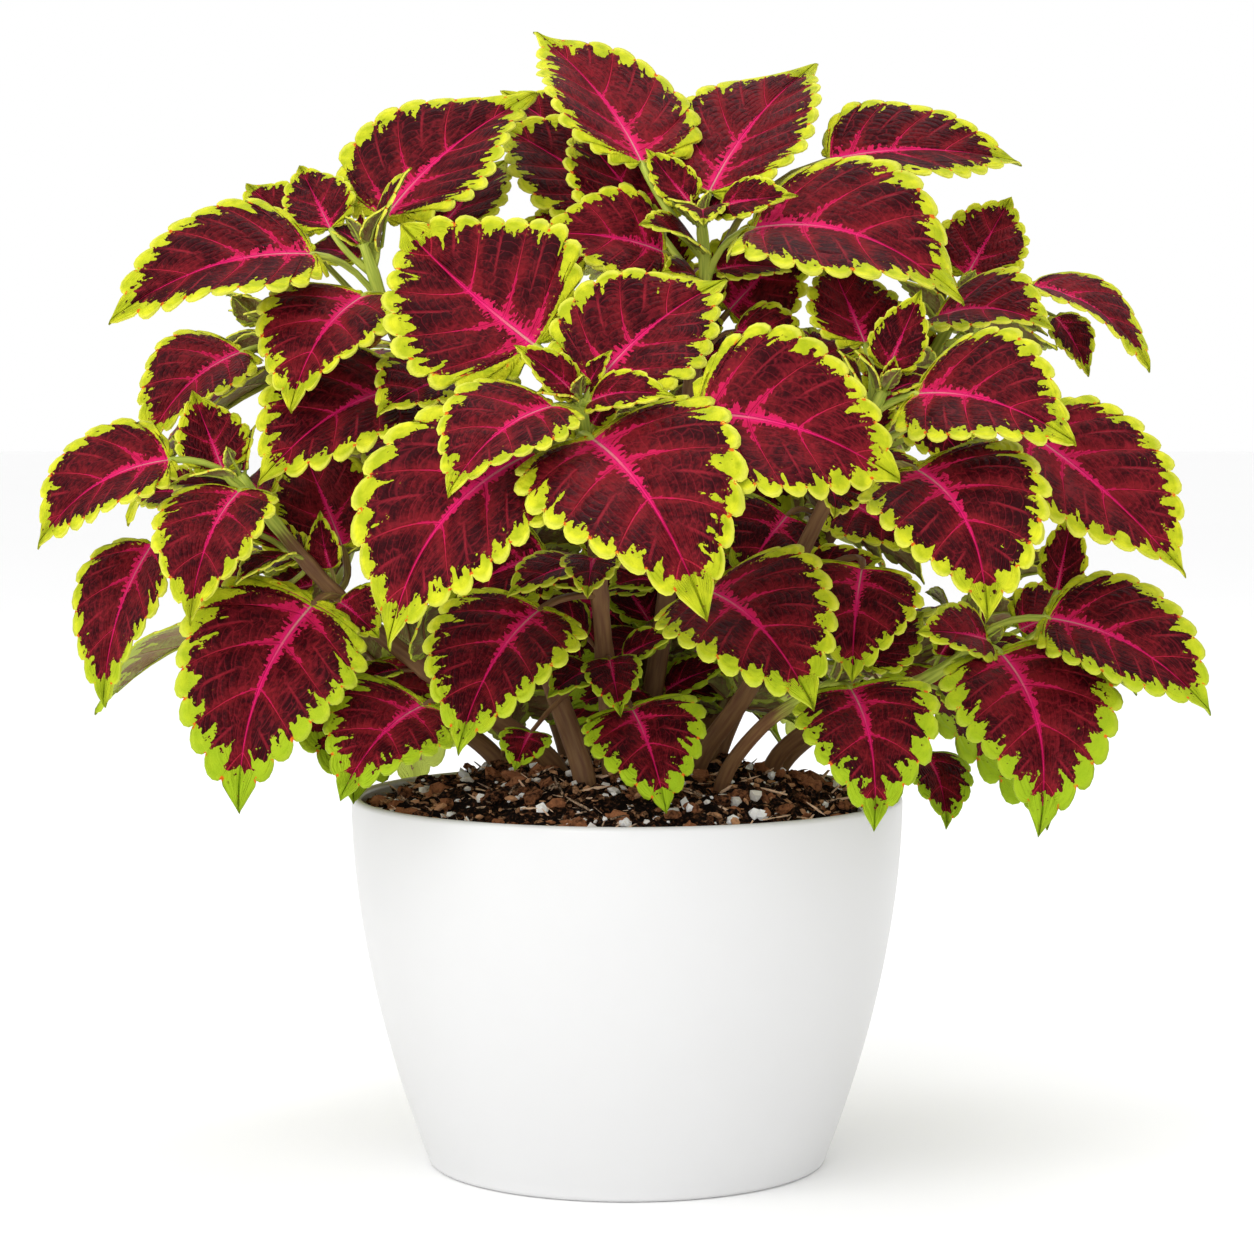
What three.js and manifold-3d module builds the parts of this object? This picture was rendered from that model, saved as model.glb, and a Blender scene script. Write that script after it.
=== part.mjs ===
// A potted coleus: a round white pot, the potting soil that fills it, and one node for each leafy shoot.
// Millimetres, +Z up, with the origin under the middle of the pot's flat base.
import * as THREE from 'three';
import { mergeVertices } from 'three/addons/utils/BufferGeometryUtils.js';
import Module from 'manifold-3d';

const wasm = await Module();
wasm.setup();

// ---- driving dimensions ------------------------------------------------------------------------
const POT_HEIGHT = 100.4;
const POT_RIM_RADIUS = 75;
const POT_BASE_RADIUS = 54;
const POT_BELLY = 1.86; // how early the wall swings upright on its way to the rim
const POT_WALL = 2.8;
const POT_FLOOR = 3.2;
const POT_LIP_ROUND = POT_WALL / 2; // the lip is a full round
const POT_LIP_FACETS = 4;
const POT_FOOT_ROUND = 1.8;
const POT_FOOT_FACETS = 2;
const POT_INSIDE_CORNER = 1;
const POT_SIDES = 28;

const SOIL_EDGE_HEIGHT = 96.5;
const SOIL_CROWN = 12; // the soil is heaped this much towards the stems
const SOIL_LUMP = 0.9;
const SOIL_WAVES = [[0.21, 0.13], [-0.09, 0.24]]; // radians a millimetre, along x and y
const SEAT_GAP = 0.3; // clearance kept where two pieces touch

const STEM_ROOT_WIDTH = 6; // coleus stems are square
const STEM_TOP_WIDTH = 2.6;
const STEM_TAPER_LENGTH = 150;
const STEM_TAPER_POWER = 0.7;
const STEM_BURIED = 24;
const STEM_RINGS = 5;

const BLADE_THICKNESS = 0.8;
const MIDRIB_DEPTH = 0.8; // the rib stands out this far under the base of a blade
const PETIOLE_WIDTH = 2.6;
const PETIOLE_DEPTH = 2.2;
const PETIOLE_LEAD = 0.5; // how straight a stalk runs into its blade, as a share of its length
const PETIOLE_LONG = 16; // from this length on, a stalk bends in the middle
const BLADE_BASE_POWER = 0.5; // a round base: the outline opens fast
const BLADE_TIP_POWER = 1.12; // a drawn-out tip: it closes slowly
const BLADE_NECK = 0.42; // least half width, as a share of the stalk's width
const BLADE_FOLD = 0.4; // the two halves rise from the midrib, as a share of the half width
const BLADE_DROOP = 0.18; // and their margins turn down again
const RUFFLE = 0.035; // waves of the margin, as a share of the width
const RUFFLE_TURN = 9; // radians of wave from a blade's base to its tip
const RUFFLE_OFFSET = 2; // radians by which the right margin runs ahead of the midrib
const RUFFLE_PHASES = 7;
const TOOTH_DEPTH = 0.1; // scallops of the margin, as a share of the half width
const TOOTH_LEAN = 0.6; // where between its two notches a scallop stands out most
const TOOTH_SPREAD = 1.35; // above 1, the scallops are shorter near the base
const LAST_NOTCH = 0.9; // where the scallops end and the pointed tip begins
const LEAF_CLEARANCE = 0.5; // least air between the leaves and stems of two shoots
const BLADE_CLEARANCE = 0.1; // and between two blades of one shoot
const GAP_SEARCH = 2;

const POT_WHITE = 0xf2f2f0;
const SOIL_BROWN = 0x3b2a20;
const LEAF_BURGUNDY = 0x7a1238;

// ---- solids ------------------------------------------------------------------------------------
const vec = (x, y, z) => new THREE.Vector3(x, y, z);

function solidFrom(vertices, triangles) {
  const vertProperties = new Float32Array(vertices.flatMap((v) => [v.x, v.y, v.z]));
  return new wasm.Manifold(new wasm.Mesh({
    numProp: 3,
    vertProperties,
    triVerts: new Uint32Array(triangles.flat()),
  }));
}

// A solid of revolution about Z. The outline starts and ends on the axis and keeps the solid on its left.
function turned(outline, sides) {
  const lathe = new THREE.LatheGeometry(outline.map(([r, z]) => new THREE.Vector2(r, z)), sides);
  lathe.rotateX(Math.PI / 2);
  lathe.deleteAttribute('normal');
  lathe.deleteAttribute('uv');
  const merged = mergeVertices(lathe, 1e-3);
  const place = merged.getAttribute('position');
  const vertices = [];
  for (let i = 0; i < place.count; i++) vertices.push(new THREE.Vector3().fromBufferAttribute(place, i));
  const corners = merged.index.array;
  const triangles = [];
  for (let i = 0; i < corners.length; i += 3) {
    const [a, b, c] = corners.slice(i, i + 3);
    if (a !== b && b !== c && c !== a) triangles.push([a, b, c]);
  }
  return { vertices, triangles };
}

function nodeMesh(name, solid, colour) {
  const { vertProperties, triVerts } = solid.getMesh();
  const geometry = new THREE.BufferGeometry();
  geometry.setAttribute('position', new THREE.BufferAttribute(vertProperties, 3));
  geometry.setIndex(new THREE.BufferAttribute(triVerts, 1));
  geometry.computeVertexNormals();
  const mesh = new THREE.Mesh(geometry, new THREE.MeshStandardMaterial({ color: colour, roughness: 0.7 }));
  mesh.name = name;
  return mesh;
}

// ---- pot: one moulded shell with a flat base, a curved wall and a fully rounded lip ---------------
function potRadius(z) {
  return POT_BASE_RADIUS + (POT_RIM_RADIUS - POT_BASE_RADIUS) * (1 - (1 - z / POT_HEIGHT) ** POT_BELLY);
}

function arc(radius, height, round, from, to, steps) {
  const points = [];
  for (let i = 0; i <= steps; i++) {
    const angle = from + (to - from) * (i / steps);
    points.push([radius + round * Math.cos(angle), height + round * Math.sin(angle)]);
  }
  return points;
}

const OUTER_HEIGHTS = [14, 28, 43, 59, 77];
const INNER_HEIGHTS = [24, 56];
const lipHeight = POT_HEIGHT - POT_LIP_ROUND;
const floorRadius = potRadius(POT_FLOOR) - POT_WALL - POT_INSIDE_CORNER;
const potOutline = [
  [0, 0],
  ...arc(potRadius(POT_FOOT_ROUND) - POT_FOOT_ROUND, POT_FOOT_ROUND, POT_FOOT_ROUND, -Math.PI / 2, 0,
    POT_FOOT_FACETS),
  ...OUTER_HEIGHTS.map((z) => [potRadius(z), z]),
  ...arc(POT_RIM_RADIUS - POT_LIP_ROUND, lipHeight, POT_LIP_ROUND, 0, Math.PI, POT_LIP_FACETS),
  ...INNER_HEIGHTS.toReversed().map((z) => [potRadius(z) - POT_WALL, z]),
  [floorRadius, POT_FLOOR],
  [0, POT_FLOOR],
];
const potForm = turned(potOutline, POT_SIDES);
const pot = solidFrom(potForm.vertices, potForm.triangles);

// ---- soil: fills the pot to just under the lip and is heaped, with a lumpy top, round the stems --
const soilRadius = (z) => potRadius(z) - POT_WALL - SEAT_GAP;

function soilHeight(x, y) {
  const out = Math.hypot(x, y) / soilRadius(SOIL_EDGE_HEIGHT);
  const [one, other] = SOIL_WAVES.map(([alongX, alongY]) => Math.sin(x * alongX + y * alongY));
  return SOIL_EDGE_HEIGHT + SOIL_CROWN * (1 - out ** 2) + SOIL_LUMP * one * other * (1 - out ** 4);
}

const SOIL_RINGS = [0.72, 0.36];
const soilOutline = [
  [0, POT_FLOOR + SEAT_GAP],
  [floorRadius - SEAT_GAP, POT_FLOOR + SEAT_GAP],
  ...INNER_HEIGHTS.map((z) => [soilRadius(z), z]),
  [soilRadius(SOIL_EDGE_HEIGHT), SOIL_EDGE_HEIGHT],
  ...SOIL_RINGS.map((share) => [soilRadius(SOIL_EDGE_HEIGHT) * share, POT_HEIGHT]),
  [0, POT_HEIGHT],
];
const soilForm = turned(soilOutline, POT_SIDES);
for (const v of soilForm.vertices) {
  if (v.z > SOIL_EDGE_HEIGHT + SOIL_LUMP) v.z = soilHeight(v.x, v.y);
}

// ---- stems: square rods, tapering upwards, planted in the soil -----------------------------------
function stemCurve(points) {
  const root = vec(...points[0]);
  const foot = root.clone().setZ(root.z - STEM_BURIED);
  return new THREE.CatmullRomCurve3([foot, ...points.map((p) => vec(...p))], false, 'centripetal');
}

// The point on a stem that lies a given length below its top.
const stemPoint = (curve, below) => curve.getPointAt(1 - below / curve.getLength());

function stemWidth(below) {
  const grown = Math.min(1, below / STEM_TAPER_LENGTH);
  return STEM_TOP_WIDTH + (STEM_ROOT_WIDTH - STEM_TOP_WIDTH) * grown ** STEM_TAPER_POWER;
}

function stemSolid(curve, extra) {
  const length = curve.getLength();
  const vertices = [];
  const triangles = [];
  for (let i = 0; i <= STEM_RINGS; i++) {
    const u = i / STEM_RINGS;
    const centre = curve.getPointAt(u);
    const along = curve.getTangentAt(u);
    if (i === 0) centre.addScaledVector(along, -extra);
    const left = vec(0, 1, 0).cross(along).normalize();
    const front = along.clone().cross(left);
    const half = stemWidth(length * (1 - u)) / 2 + extra;
    for (const [a, b] of [[1, 1], [-1, 1], [-1, -1], [1, -1]]) {
      vertices.push(centre.clone().addScaledVector(left, a * half).addScaledVector(front, b * half));
    }
    if (i === 0) continue;
    for (let k = 0; k < 4; k++) {
      const [a, b] = [4 * i - 4 + k, 4 * i - 4 + ((k + 1) % 4)];
      triangles.push([a, b, b + 4], [a, b + 4, a + 4]);
    }
  }
  const top = 4 * STEM_RINGS;
  triangles.push([0, 2, 1], [0, 3, 2], [top, top + 1, top + 2], [top, top + 2, top + 3]);
  return solidFrom(vertices, triangles);
}

// ---- leaves: a stalk that runs on as the midrib of an oval, pointed, scalloped blade ---------------
// The blade is widest near a third of the way along, round at its base and drawn out to a point.
const WIDEST = BLADE_BASE_POWER / (BLADE_BASE_POWER + BLADE_TIP_POWER);

function halfWidthShare(b) {
  return (b / WIDEST) ** BLADE_BASE_POWER * ((1 - b) / (1 - WIDEST)) ** BLADE_TIP_POWER;
}

function toothCount(width) {
  if (width >= 45) return 5;
  if (width >= 33) return 4;
  return width >= 21 ? 3 : 2;
}

// The stalk runs from the stem to the blade's base, and the midrib on to the tip. The blade arches off
// the straight line between base and tip, towards its upper face, and may bow to its own right.
function leafForm(node, base, tip, { width, arch, bow, face }) {
  const along = tip.clone().sub(base);
  const length = along.length();
  along.normalize();
  const up = face.clone().addScaledVector(along, -face.dot(along)).normalize();
  const side = along.clone().cross(up);
  const bend = base.clone().add(tip).multiplyScalar(0.5);
  bend.addScaledVector(up, 2 * arch * length).addScaledVector(side, 2 * bow * length);
  const midrib = new THREE.QuadraticBezierCurve3(base, bend, tip);
  const lead = midrib.getTangent(0).multiplyScalar(-PETIOLE_LEAD * node.distanceTo(base));
  const stalk = new THREE.QuadraticBezierCurve3(node, base.clone().add(lead), base);
  const phase = (Math.abs(tip.x) + Math.abs(tip.z)) % RUFFLE_PHASES;

  function at(curve, share, out, lift) {
    const tangent = curve.getTangent(share);
    const normal = side.clone().cross(tangent).normalize();
    const across = tangent.clone().cross(normal);
    return curve.getPoint(share).addScaledVector(across, out).addScaledVector(normal, lift);
  }
  const half = (b) => Math.max(PETIOLE_WIDTH * BLADE_NECK, (width / 2) * halfWidthShare(b));
  return {
    width,
    half,
    longStalk: node.distanceTo(base) > PETIOLE_LONG,
    onStalk: (share, out, lift) => at(stalk, share, out, lift),
    onBlade: (share, out, lift) => at(midrib, share, out, lift),
    // How far the margin stands off the midrib's level at share b, on the left (-1) or right (1).
    marginLift(b, hand) {
      const wave = Math.sin(phase + RUFFLE_TURN * b + RUFFLE_OFFSET * hand);
      return half(b) * (BLADE_FOLD - BLADE_DROOP) + RUFFLE * width * wave * Math.sqrt(b);
    },
  };
}

function leafSolid(leaf, withStalk) {
  const vertices = [];
  const triangles = [];
  const add = (point) => vertices.push(point) - 1;
  const half = BLADE_THICKNESS / 2;

  // Each face is written once for the right half; the left half is its mirror image.
  function face(a, b, c) {
    triangles.push([a[0], b[0], c[0]], [a[1], c[1], b[1]]);
  }
  const right = (p, key) => [p['r' + key], p['l' + key]];
  const mid = (p, key) => [p['m' + key], p['m' + key]];

  function bladeEdges(b, out) {
    const place = (hand, lift) => add(leaf.onBlade(b, hand * out, leaf.marginLift(b, hand) + lift));
    return { lt: place(-1, half), lb: place(-1, -half), rt: place(1, half), rb: place(1, -half) };
  }

  function bladeStation(b) {
    const under = half + MIDRIB_DEPTH * (1 - b);
    return {
      ...bladeEdges(b, leaf.half(b)),
      mt: add(leaf.onBlade(b, 0, half)),
      mb: add(leaf.onBlade(b, 0, -under)),
    };
  }

  function stalkStation(share) {
    const place = (out, lift) => add(leaf.onStalk(share, out * PETIOLE_WIDTH, lift * PETIOLE_DEPTH));
    return {
      lt: place(-0.5, 0.25),
      lb: place(-0.5, -0.25),
      rt: place(0.5, 0.25),
      rb: place(0.5, -0.25),
      mt: place(0, 0.5),
      mb: place(0, -0.5),
    };
  }

  function rim(a, b) {
    face(right(a, 't'), right(a, 'b'), right(b, 'b'));
    face(right(a, 't'), right(b, 'b'), right(b, 't'));
  }

  function plainStrip(a, b) {
    face(mid(a, 't'), right(a, 't'), right(b, 't'));
    face(mid(a, 't'), right(b, 't'), mid(b, 't'));
    face(mid(a, 'b'), right(b, 'b'), right(a, 'b'));
    face(mid(a, 'b'), mid(b, 'b'), right(b, 'b'));
    rim(a, b);
  }

  function tooth(a, crest, b) {
    face(mid(a, 't'), right(a, 't'), right(crest, 't'));
    face(mid(a, 't'), right(crest, 't'), mid(b, 't'));
    face(mid(b, 't'), right(crest, 't'), right(b, 't'));
    face(mid(a, 'b'), right(crest, 'b'), right(a, 'b'));
    face(mid(a, 'b'), mid(b, 'b'), right(crest, 'b'));
    face(mid(b, 'b'), right(b, 'b'), right(crest, 'b'));
    rim(a, crest);
    rim(crest, b);
  }

  function endCap(a) {
    face(mid(a, 't'), mid(a, 'b'), right(a, 'b'));
    face(mid(a, 't'), right(a, 'b'), right(a, 't'));
  }

  let last = bladeStation(0);
  if (withStalk) {
    const root = stalkStation(0);
    endCap(root);
    const middle = leaf.longStalk ? stalkStation(0.5) : root;
    if (middle !== root) plainStrip(root, middle);
    plainStrip(middle, last);
  } else {
    endCap(last);
  }

  const teeth = toothCount(leaf.width);
  for (let i = 1; i <= teeth; i++) {
    const before = LAST_NOTCH * ((i - 1) / teeth) ** TOOTH_SPREAD;
    const b = LAST_NOTCH * (i / teeth) ** TOOTH_SPREAD;
    const peak = before + (b - before) * TOOTH_LEAN;
    const crest = bladeEdges(peak, leaf.half(peak) + (TOOTH_DEPTH * leaf.width) / 2);
    const notch = bladeStation(b);
    tooth(last, crest, notch);
    last = notch;
  }
  const top = add(leaf.onBlade(1, 0, half));
  const under = add(leaf.onBlade(1, 0, -half));
  face(mid(last, 't'), right(last, 't'), [top, top]);
  face(mid(last, 'b'), [under, under], right(last, 'b'));
  face(right(last, 't'), right(last, 'b'), [under, under]);
  face(right(last, 't'), [under, under], [top, top]);
  return solidFrom(vertices, triangles);
}

// ---- where the shoots stand and their leaves reach --------------------------------------------
// Leaves leave a coleus stem in crossed pairs, small and upright at the top, large and drooping below.
// A row is one leaf: how far below the stem's top it starts, its blade's base and tip, the blade's width,
// how far it arches and bows as shares of its length, and the way it faces where that isn't the shoot's.
const SHOOTS = [
  {
    name: 'shoot_crown',
    stem: [[4, 10, 104], [10, 8, 147], [17, 2, 208], [21, -4, 240], [20, -6, 255]],
    face: [0, -0.8, 0.6],
    leaves: [
      [3, [25, -12, 259], [45, -24, 261], 14, 0.06, 0.03],
      [3, [17, -6, 260], [5, -2, 275], 12, 0, 0],
      [4, [20, -12, 258], [20, -30, 253], 13, 0.08, 0, [0, -0.3, 0.95]],
      [10, [4, -2, 271], [-26, 26, 309], 41, 0.02, 0.06, [0.55, -0.78, 0.3]],
      [10, [22, -2, 263], [54, 24, 302], 37, 0.04, -0.03, [-0.3, -0.85, 0.4]],
      [19, [33, -12, 253], [88, -32, 232], 52, 0.14, -0.03, [0.15, -0.66, 0.74]],
      [19, [7, -2, 255], [-15, 18, 283], 32, 0.02, 0, [0.3, -0.8, 0.5]],
      [28, [0, 14, 260], [-36, 36, 284], 34, 0.05, 0],
      [30, [10, -6, 247], [-25, -14, 241], 29, 0.1, 0],
      [36, [-9, 8, 251], [-38, 20, 261], 26, 0.06, 0],
      [34, [55, 14, 273], [109, 22, 272], 37, 0.08, 0, [0, -0.6, 0.8]],
      [42, [-10, 34, 277], [-36, 44, 295], 24, 0.02, 0],
      [46, [29, -4, 226], [49, -16, 220], 19, 0.08, 0],
      [44, [28, 16, 232], [50, 12, 254], 30, 0.04, 0, [0, -0.9, 0.4]],
      [40, [8, 12, 238], [0, 16, 262], 24, 0.02, 0, [0.1, -0.95, 0.2]],
    ],
  },
  {
    name: 'shoot_front',
    stem: [[-4, -24, 107], [-5, -27, 127], [-7, -36, 155], [-9, -50, 182], [-11, -66, 202],
      [-12, -70, 208]],
    face: [-0.1, -0.8, 0.6],
    leaves: [
      [2, [-9, -74, 207], [12, -92, 208], 13, 0.1, 0],
      [3, [-13, -72, 209], [-28, -78, 221], 11, 0.05, 0],
      [6, [-8, -70, 211], [26, -46, 238], 38, 0.03, -0.05, [-0.2, -0.85, 0.5]],
      [6, [-18, -78, 206], [-43, -106, 184], 31, 0.08, 0.05, [-0.25, -0.8, 0.6]],
      [14, [-23, -56, 221], [-59, -34, 253], 50, 0, -0.02, [0.05, -0.95, 0.3]],
      [14, [-9, -80, 198], [19, -120, 155], 50, 0.12, -0.03, [-0.05, -0.8, 0.6]],
      [26, [-22, -84, 195], [-58, -112, 146], 48, 0.13, 0.08, [-0.25, -0.8, 0.6]],
      [22, [17, -86, 204], [67, -108, 187], 45, 0.12, -0.03, [0.1, -0.85, 0.5]],
      [50, [20, -54, 159], [46, -90, 131], 42, 0.1, -0.04, [0.1, -0.85, 0.5]],
      [62, [-22, -52, 154], [-42, -80, 119], 36, 0.1, 0.04, [-0.2, -0.8, 0.5]],
      [84, [1, -44, 128], [10, -68, 103], 29, 0.08, -0.02, [0.05, -0.9, 0.4]],
      [80, [-25, -40, 121], [-29, -50, 112], 13, 0.08, 0],
      [56, [-21, -33, 167], [-47, -44, 154], 27, 0.08, 0.03, [-0.1, -0.85, 0.5]],
    ],
  },
  {
    name: 'shoot_upper_left',
    stem: [[-11, -28, 106], [-18, -26, 128], [-34, -20, 170], [-52, -14, 208], [-63, -12, 228],
      [-70, -14, 249]],
    face: [-0.2, -0.7, 0.7],
    leaves: [
      [8, [-65, -6, 256], [-24, 14, 291], 44, 0.02, -0.07, [-0.5, -0.75, 0.4]],
      [22, [-83, -18, 246], [-135, -34, 227], 39, 0.11, 0.02, [-0.1, -0.65, 0.75]],
      [24, [-69, -24, 235], [-86, -50, 204], 36, 0.1, 0.04, [-0.3, -0.75, 0.55]],
      [9, [-79, -12, 253], [-89, 2, 271], 18, 0.02, 0],
      [24, [-51, 10, 254], [-33, 24, 274], 26, 0.05, 0],
      [26, [-88, 6, 251], [-105, 20, 267], 20, 0.04, 0],
      [48, [-57, -22, 211], [-95, -48, 185], 42, 0.12, 0.02, [0.1, -0.55, 0.8]],
      [46, [-42, -28, 213], [-64, -52, 203], 28, 0.08, 0.02],
    ],
  },
  {
    name: 'shoot_left',
    stem: [[-18, -6, 106], [-46, -20, 130], [-74, -30, 154], [-95, -34, 179], [-101, -36, 188]],
    face: [-0.2, -0.7, 0.7],
    leaves: [
      [3, [-105, -34, 191], [-120, -26, 198], 12, 0, 0],
      [5, [-105, -38, 189], [-114, -30, 210], 18, 0, 0, [0.2, -0.9, 0.3]],
      [9, [-118, -42, 192], [-152, -46, 169], 32, 0.12, 0.06, [-0.25, -0.65, 0.7]],
      [10, [-100, -44, 184], [-109, -76, 151], 28, 0.1, 0.03, [-0.15, -0.8, 0.6]],
      [15, [-115, -24, 183], [-132, -16, 182], 15, 0.06, 0],
      [30, [-124, -34, 170], [-135, -46, 128], 28, 0.08, 0.03, [-0.5, -0.75, 0.4]],
      [30, [-99, -22, 157], [-118, -8, 152], 18, 0.1, 0],
      [46, [-81, -42, 155], [-98, -68, 103], 44, 0.08, 0.08, [-0.05, -0.88, 0.45]],
      [46, [-75, -38, 155], [-64, -56, 146], 16, 0.1, 0],
      [72, [-52, -48, 129], [-72, -74, 107], 32, 0.1, 0.04, [-0.1, -0.8, 0.55]],
      [40, [-76, -14, 168], [-90, 6, 197], 28, 0.05, 0, [0.1, -0.9, 0.4]],
    ],
  },
  {
    name: 'shoot_right',
    stem: [[18, -12, 107], [33, -20, 132], [45, -28, 165], [55, -36, 187], [66, -46, 210]],
    face: [0.15, -0.75, 0.65],
    leaves: [
      [3, [67, -44, 215], [76, -42, 236], 14, 0, 0, [0, -0.9, 0.4]],
      [8, [74, -50, 209], [112, -74, 196], 39, 0.1, -0.03, [0.1, -0.8, 0.6]],
      [10, [62, -34, 222], [53, -18, 245], 24, 0.02, 0],
      [24, [103, -34, 200], [143, -54, 162], 41, 0.04, -0.02, [0.2, -0.75, 0.6]],
      [26, [51, -10, 216], [49, 6, 242], 24, 0.03, 0],
      [34, [73, -60, 190], [88, -92, 153], 43, 0.12, -0.08, [0.05, -0.8, 0.6]],
      [62, [61, -42, 164], [57, -64, 136], 30, 0.06, 0.02, [0, -0.92, 0.4]],
    ],
  },
  {
    name: 'shoot_right_back',
    stem: [[24, 18, 106], [46, 22, 152], [71, 26, 196], [89, 28, 227], [93, 28, 236]],
    face: [0.2, -0.6, 0.75],
    leaves: [
      [8, [95, 34, 242], [109, 46, 265], 25, 0, 0, [-0.2, -0.9, 0.35]],
      [10, [85, 16, 230], [115, -6, 226], 31, 0.12, -0.02, [0.1, -0.65, 0.75]],
      [14, [112, 24, 239], [143, 10, 215], 25, 0.12, -0.05, [0.15, -0.35, 0.93]],
      [22, [120, 34, 231], [129, 30, 214], 14, 0.08, 0],
      [26, [99, 22, 223], [117, 4, 221], 19, 0.1, 0, [0.3, 0.3, 0.9]],
      [40, [78, 34, 212], [70, 22, 232], 26, 0.04, 0, [0, -0.9, 0.4]],
      [56, [80, 6, 204], [92, -4, 190], 22, 0.08, 0, [0.1, -0.85, 0.5]],
      [66, [60, 10, 180], [78, -8, 166], 26, 0.08, 0, [0.1, -0.85, 0.5]],
      [74, [44, 8, 176], [30, -6, 158], 28, 0.08, 0, [0, -0.85, 0.5]],
    ],
  },
  {
    name: 'shoot_low_right',
    stem: [[39, 2, 106], [47, -6, 117], [65, -18, 126], [84, -28, 137], [93, -32, 144]],
    face: [0.1, -0.8, 0.6],
    leaves: [
      [5, [94, -38, 145], [74, -54, 148], 17, 0.06, 0],
      [10, [109, -42, 151], [149, -58, 127], 36, 0.1, -0.05, [0.15, -0.7, 0.7]],
      [11, [97, -40, 142], [103, -76, 98], 41, 0.1, -0.08, [0.05, -0.88, 0.45]],
      [16, [114, -22, 157], [119, -16, 179], 12, 0.02, 0],
      [22, [105, -14, 146], [127, 0, 151], 20, 0.08, 0],
      [42, [79, -26, 114], [83, -44, 96], 17, 0.08, -0.03, [0.3, -0.85, 0.4]],
    ],
  },
  {
    name: 'shoot_low_front',
    stem: [[25, -30, 106], [35, -38, 122], [45, -46, 130], [54, -50, 135]],
    face: [0, -0.85, 0.5],
    leaves: [
      [3, [57, -56, 134], [61, -88, 101], 33, 0.1, -0.05, [0, -0.9, 0.4]],
      [3, [60, -46, 140], [78, -34, 152], 18, 0.06, 0],
    ],
  },
];

// ---- the far side grows by rule: crossed pairs on stems that lean outwards -------------------------
const PAIRS = [ // below the top, stalk and blade lengths, rise of the stalk in degrees
  [3, 3, 14, 62],
  [10, 6, 36, 42],
  [26, 11, 54, 16],
  [46, 15, 58, 0],
];
const BLADE_PROPORTION = 0.78; // width to length
const BLADE_SINK = 40; // a blade points this many degrees lower than its stalk
const GROWN_ARCH = 0.1;
const TURN_SPREAD = 24; // how far, in degrees, the draws turn a leaf aside
const RISE_SPREAD = 14; // and lift or lower it
const SIZE_LEAST = 0.85;
const SIZE_SPREAD = 0.3;
const REACHING_LEFT = [ // one more leaf, which shows past the near shoots
  [12, [-107, 26, 221], [-131, 8, 195], 32, 0.1, 0.04, [-0.2, -0.6, 0.75]],
];
const REACHING_FORWARD = [ // two in the shade, low between the near stems
  [88, [14, 34, 160], [30, 16, 136], 30, 0.1, 0, [0.1, -0.85, 0.5]],
  [100, [-6, 34, 152], [-22, 14, 130], 30, 0.1, 0, [-0.1, -0.85, 0.5]],
];
const FAR_SHOOTS = [ // name, stem, the way its topmost pair points in degrees, leaves besides the pairs
  ['shoot_left_back', [[-7, 22, 106], [-35, 28, 152], [-69, 36, 199], [-104, 42, 230]], 20,
    REACHING_LEFT],
  ['shoot_back_left', [[-16, 30, 106], [-34, 52, 150], [-50, 74, 196], [-58, 86, 224]], 55],
  ['shoot_back', [[4, 34, 107], [8, 48, 160], [10, 62, 214], [10, 70, 246]], 10, REACHING_FORWARD],
  ['shoot_back_right', [[20, 34, 106], [38, 58, 150], [56, 82, 190], [64, 92, 212]], 75],
  ['shoot_low_back_left', [[-34, 14, 105], [-64, 34, 126], [-92, 54, 146], [-106, 64, 160]], 0],
  ['shoot_low_back', [[-2, 48, 105], [-6, 76, 128], [-10, 102, 150], [-12, 116, 164]], 80],
  ['shoot_low_back_right', [[42, 22, 104], [70, 42, 124], [98, 58, 144], [112, 66, 158]], 35],
];

const DRAW_FACTOR = 16807;
const DRAW_RANGE = 2147483647;
let draw = 20113; // the seed
function random() {
  draw = (draw * DRAW_FACTOR) % DRAW_RANGE;
  return draw / DRAW_RANGE;
}

function heading(turn, rise) {
  const [t, r] = [turn, rise].map(THREE.MathUtils.degToRad);
  return vec(Math.cos(r) * Math.cos(t), Math.cos(r) * Math.sin(t), Math.sin(r));
}

function grownLeaves(curve, firstTurn) {
  return PAIRS.flatMap(([below, stalk, blade, rise], k) => [0, 180].map((opposite) => {
    const turn = firstTurn + 90 * k + opposite + TURN_SPREAD * (random() - 0.5);
    const size = SIZE_LEAST + SIZE_SPREAD * random();
    const lift = rise + RISE_SPREAD * (random() - 0.5);
    const node = stemPoint(curve, below);
    const base = node.addScaledVector(heading(turn, lift), stalk);
    const tip = base.clone().addScaledVector(heading(turn, lift - BLADE_SINK), blade * size);
    const width = Math.round(blade * size * BLADE_PROPORTION);
    return [below, base.toArray(), tip.toArray(), width, GROWN_ARCH, 0];
  }));
}

const shoots = SHOOTS.map((shoot) => ({ ...shoot, curve: stemCurve(shoot.stem), spare: false }));
for (const [name, stem, firstTurn, besides = []] of FAR_SHOOTS) {
  const curve = stemCurve(stem);
  const leaves = [...besides, ...grownLeaves(curve, firstTurn)];
  shoots.push({ name, curve, face: [0, 0, 1], leaves, spare: true });
}

// ---- each leaf is bent aside until it is clear of every other shoot, and of its own shoot's blades ----
const BENDS = [[0, 0]];
for (const step of [5, 10, 15, 20]) BENDS.push([step, 0], [-step, 0], [0, step], [0, -step]);

const stemSolids = shoots.map((shoot) => stemSolid(shoot.curve, 0));
const soil = shoots.reduce(
  (left, shoot) => left.subtract(stemSolid(shoot.curve, SEAT_GAP)),
  solidFrom(soilForm.vertices, soilForm.triangles),
);

const boxed = (solid, shoot) => ({ solid, box: solid.boundingBox(), shoot });

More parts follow.
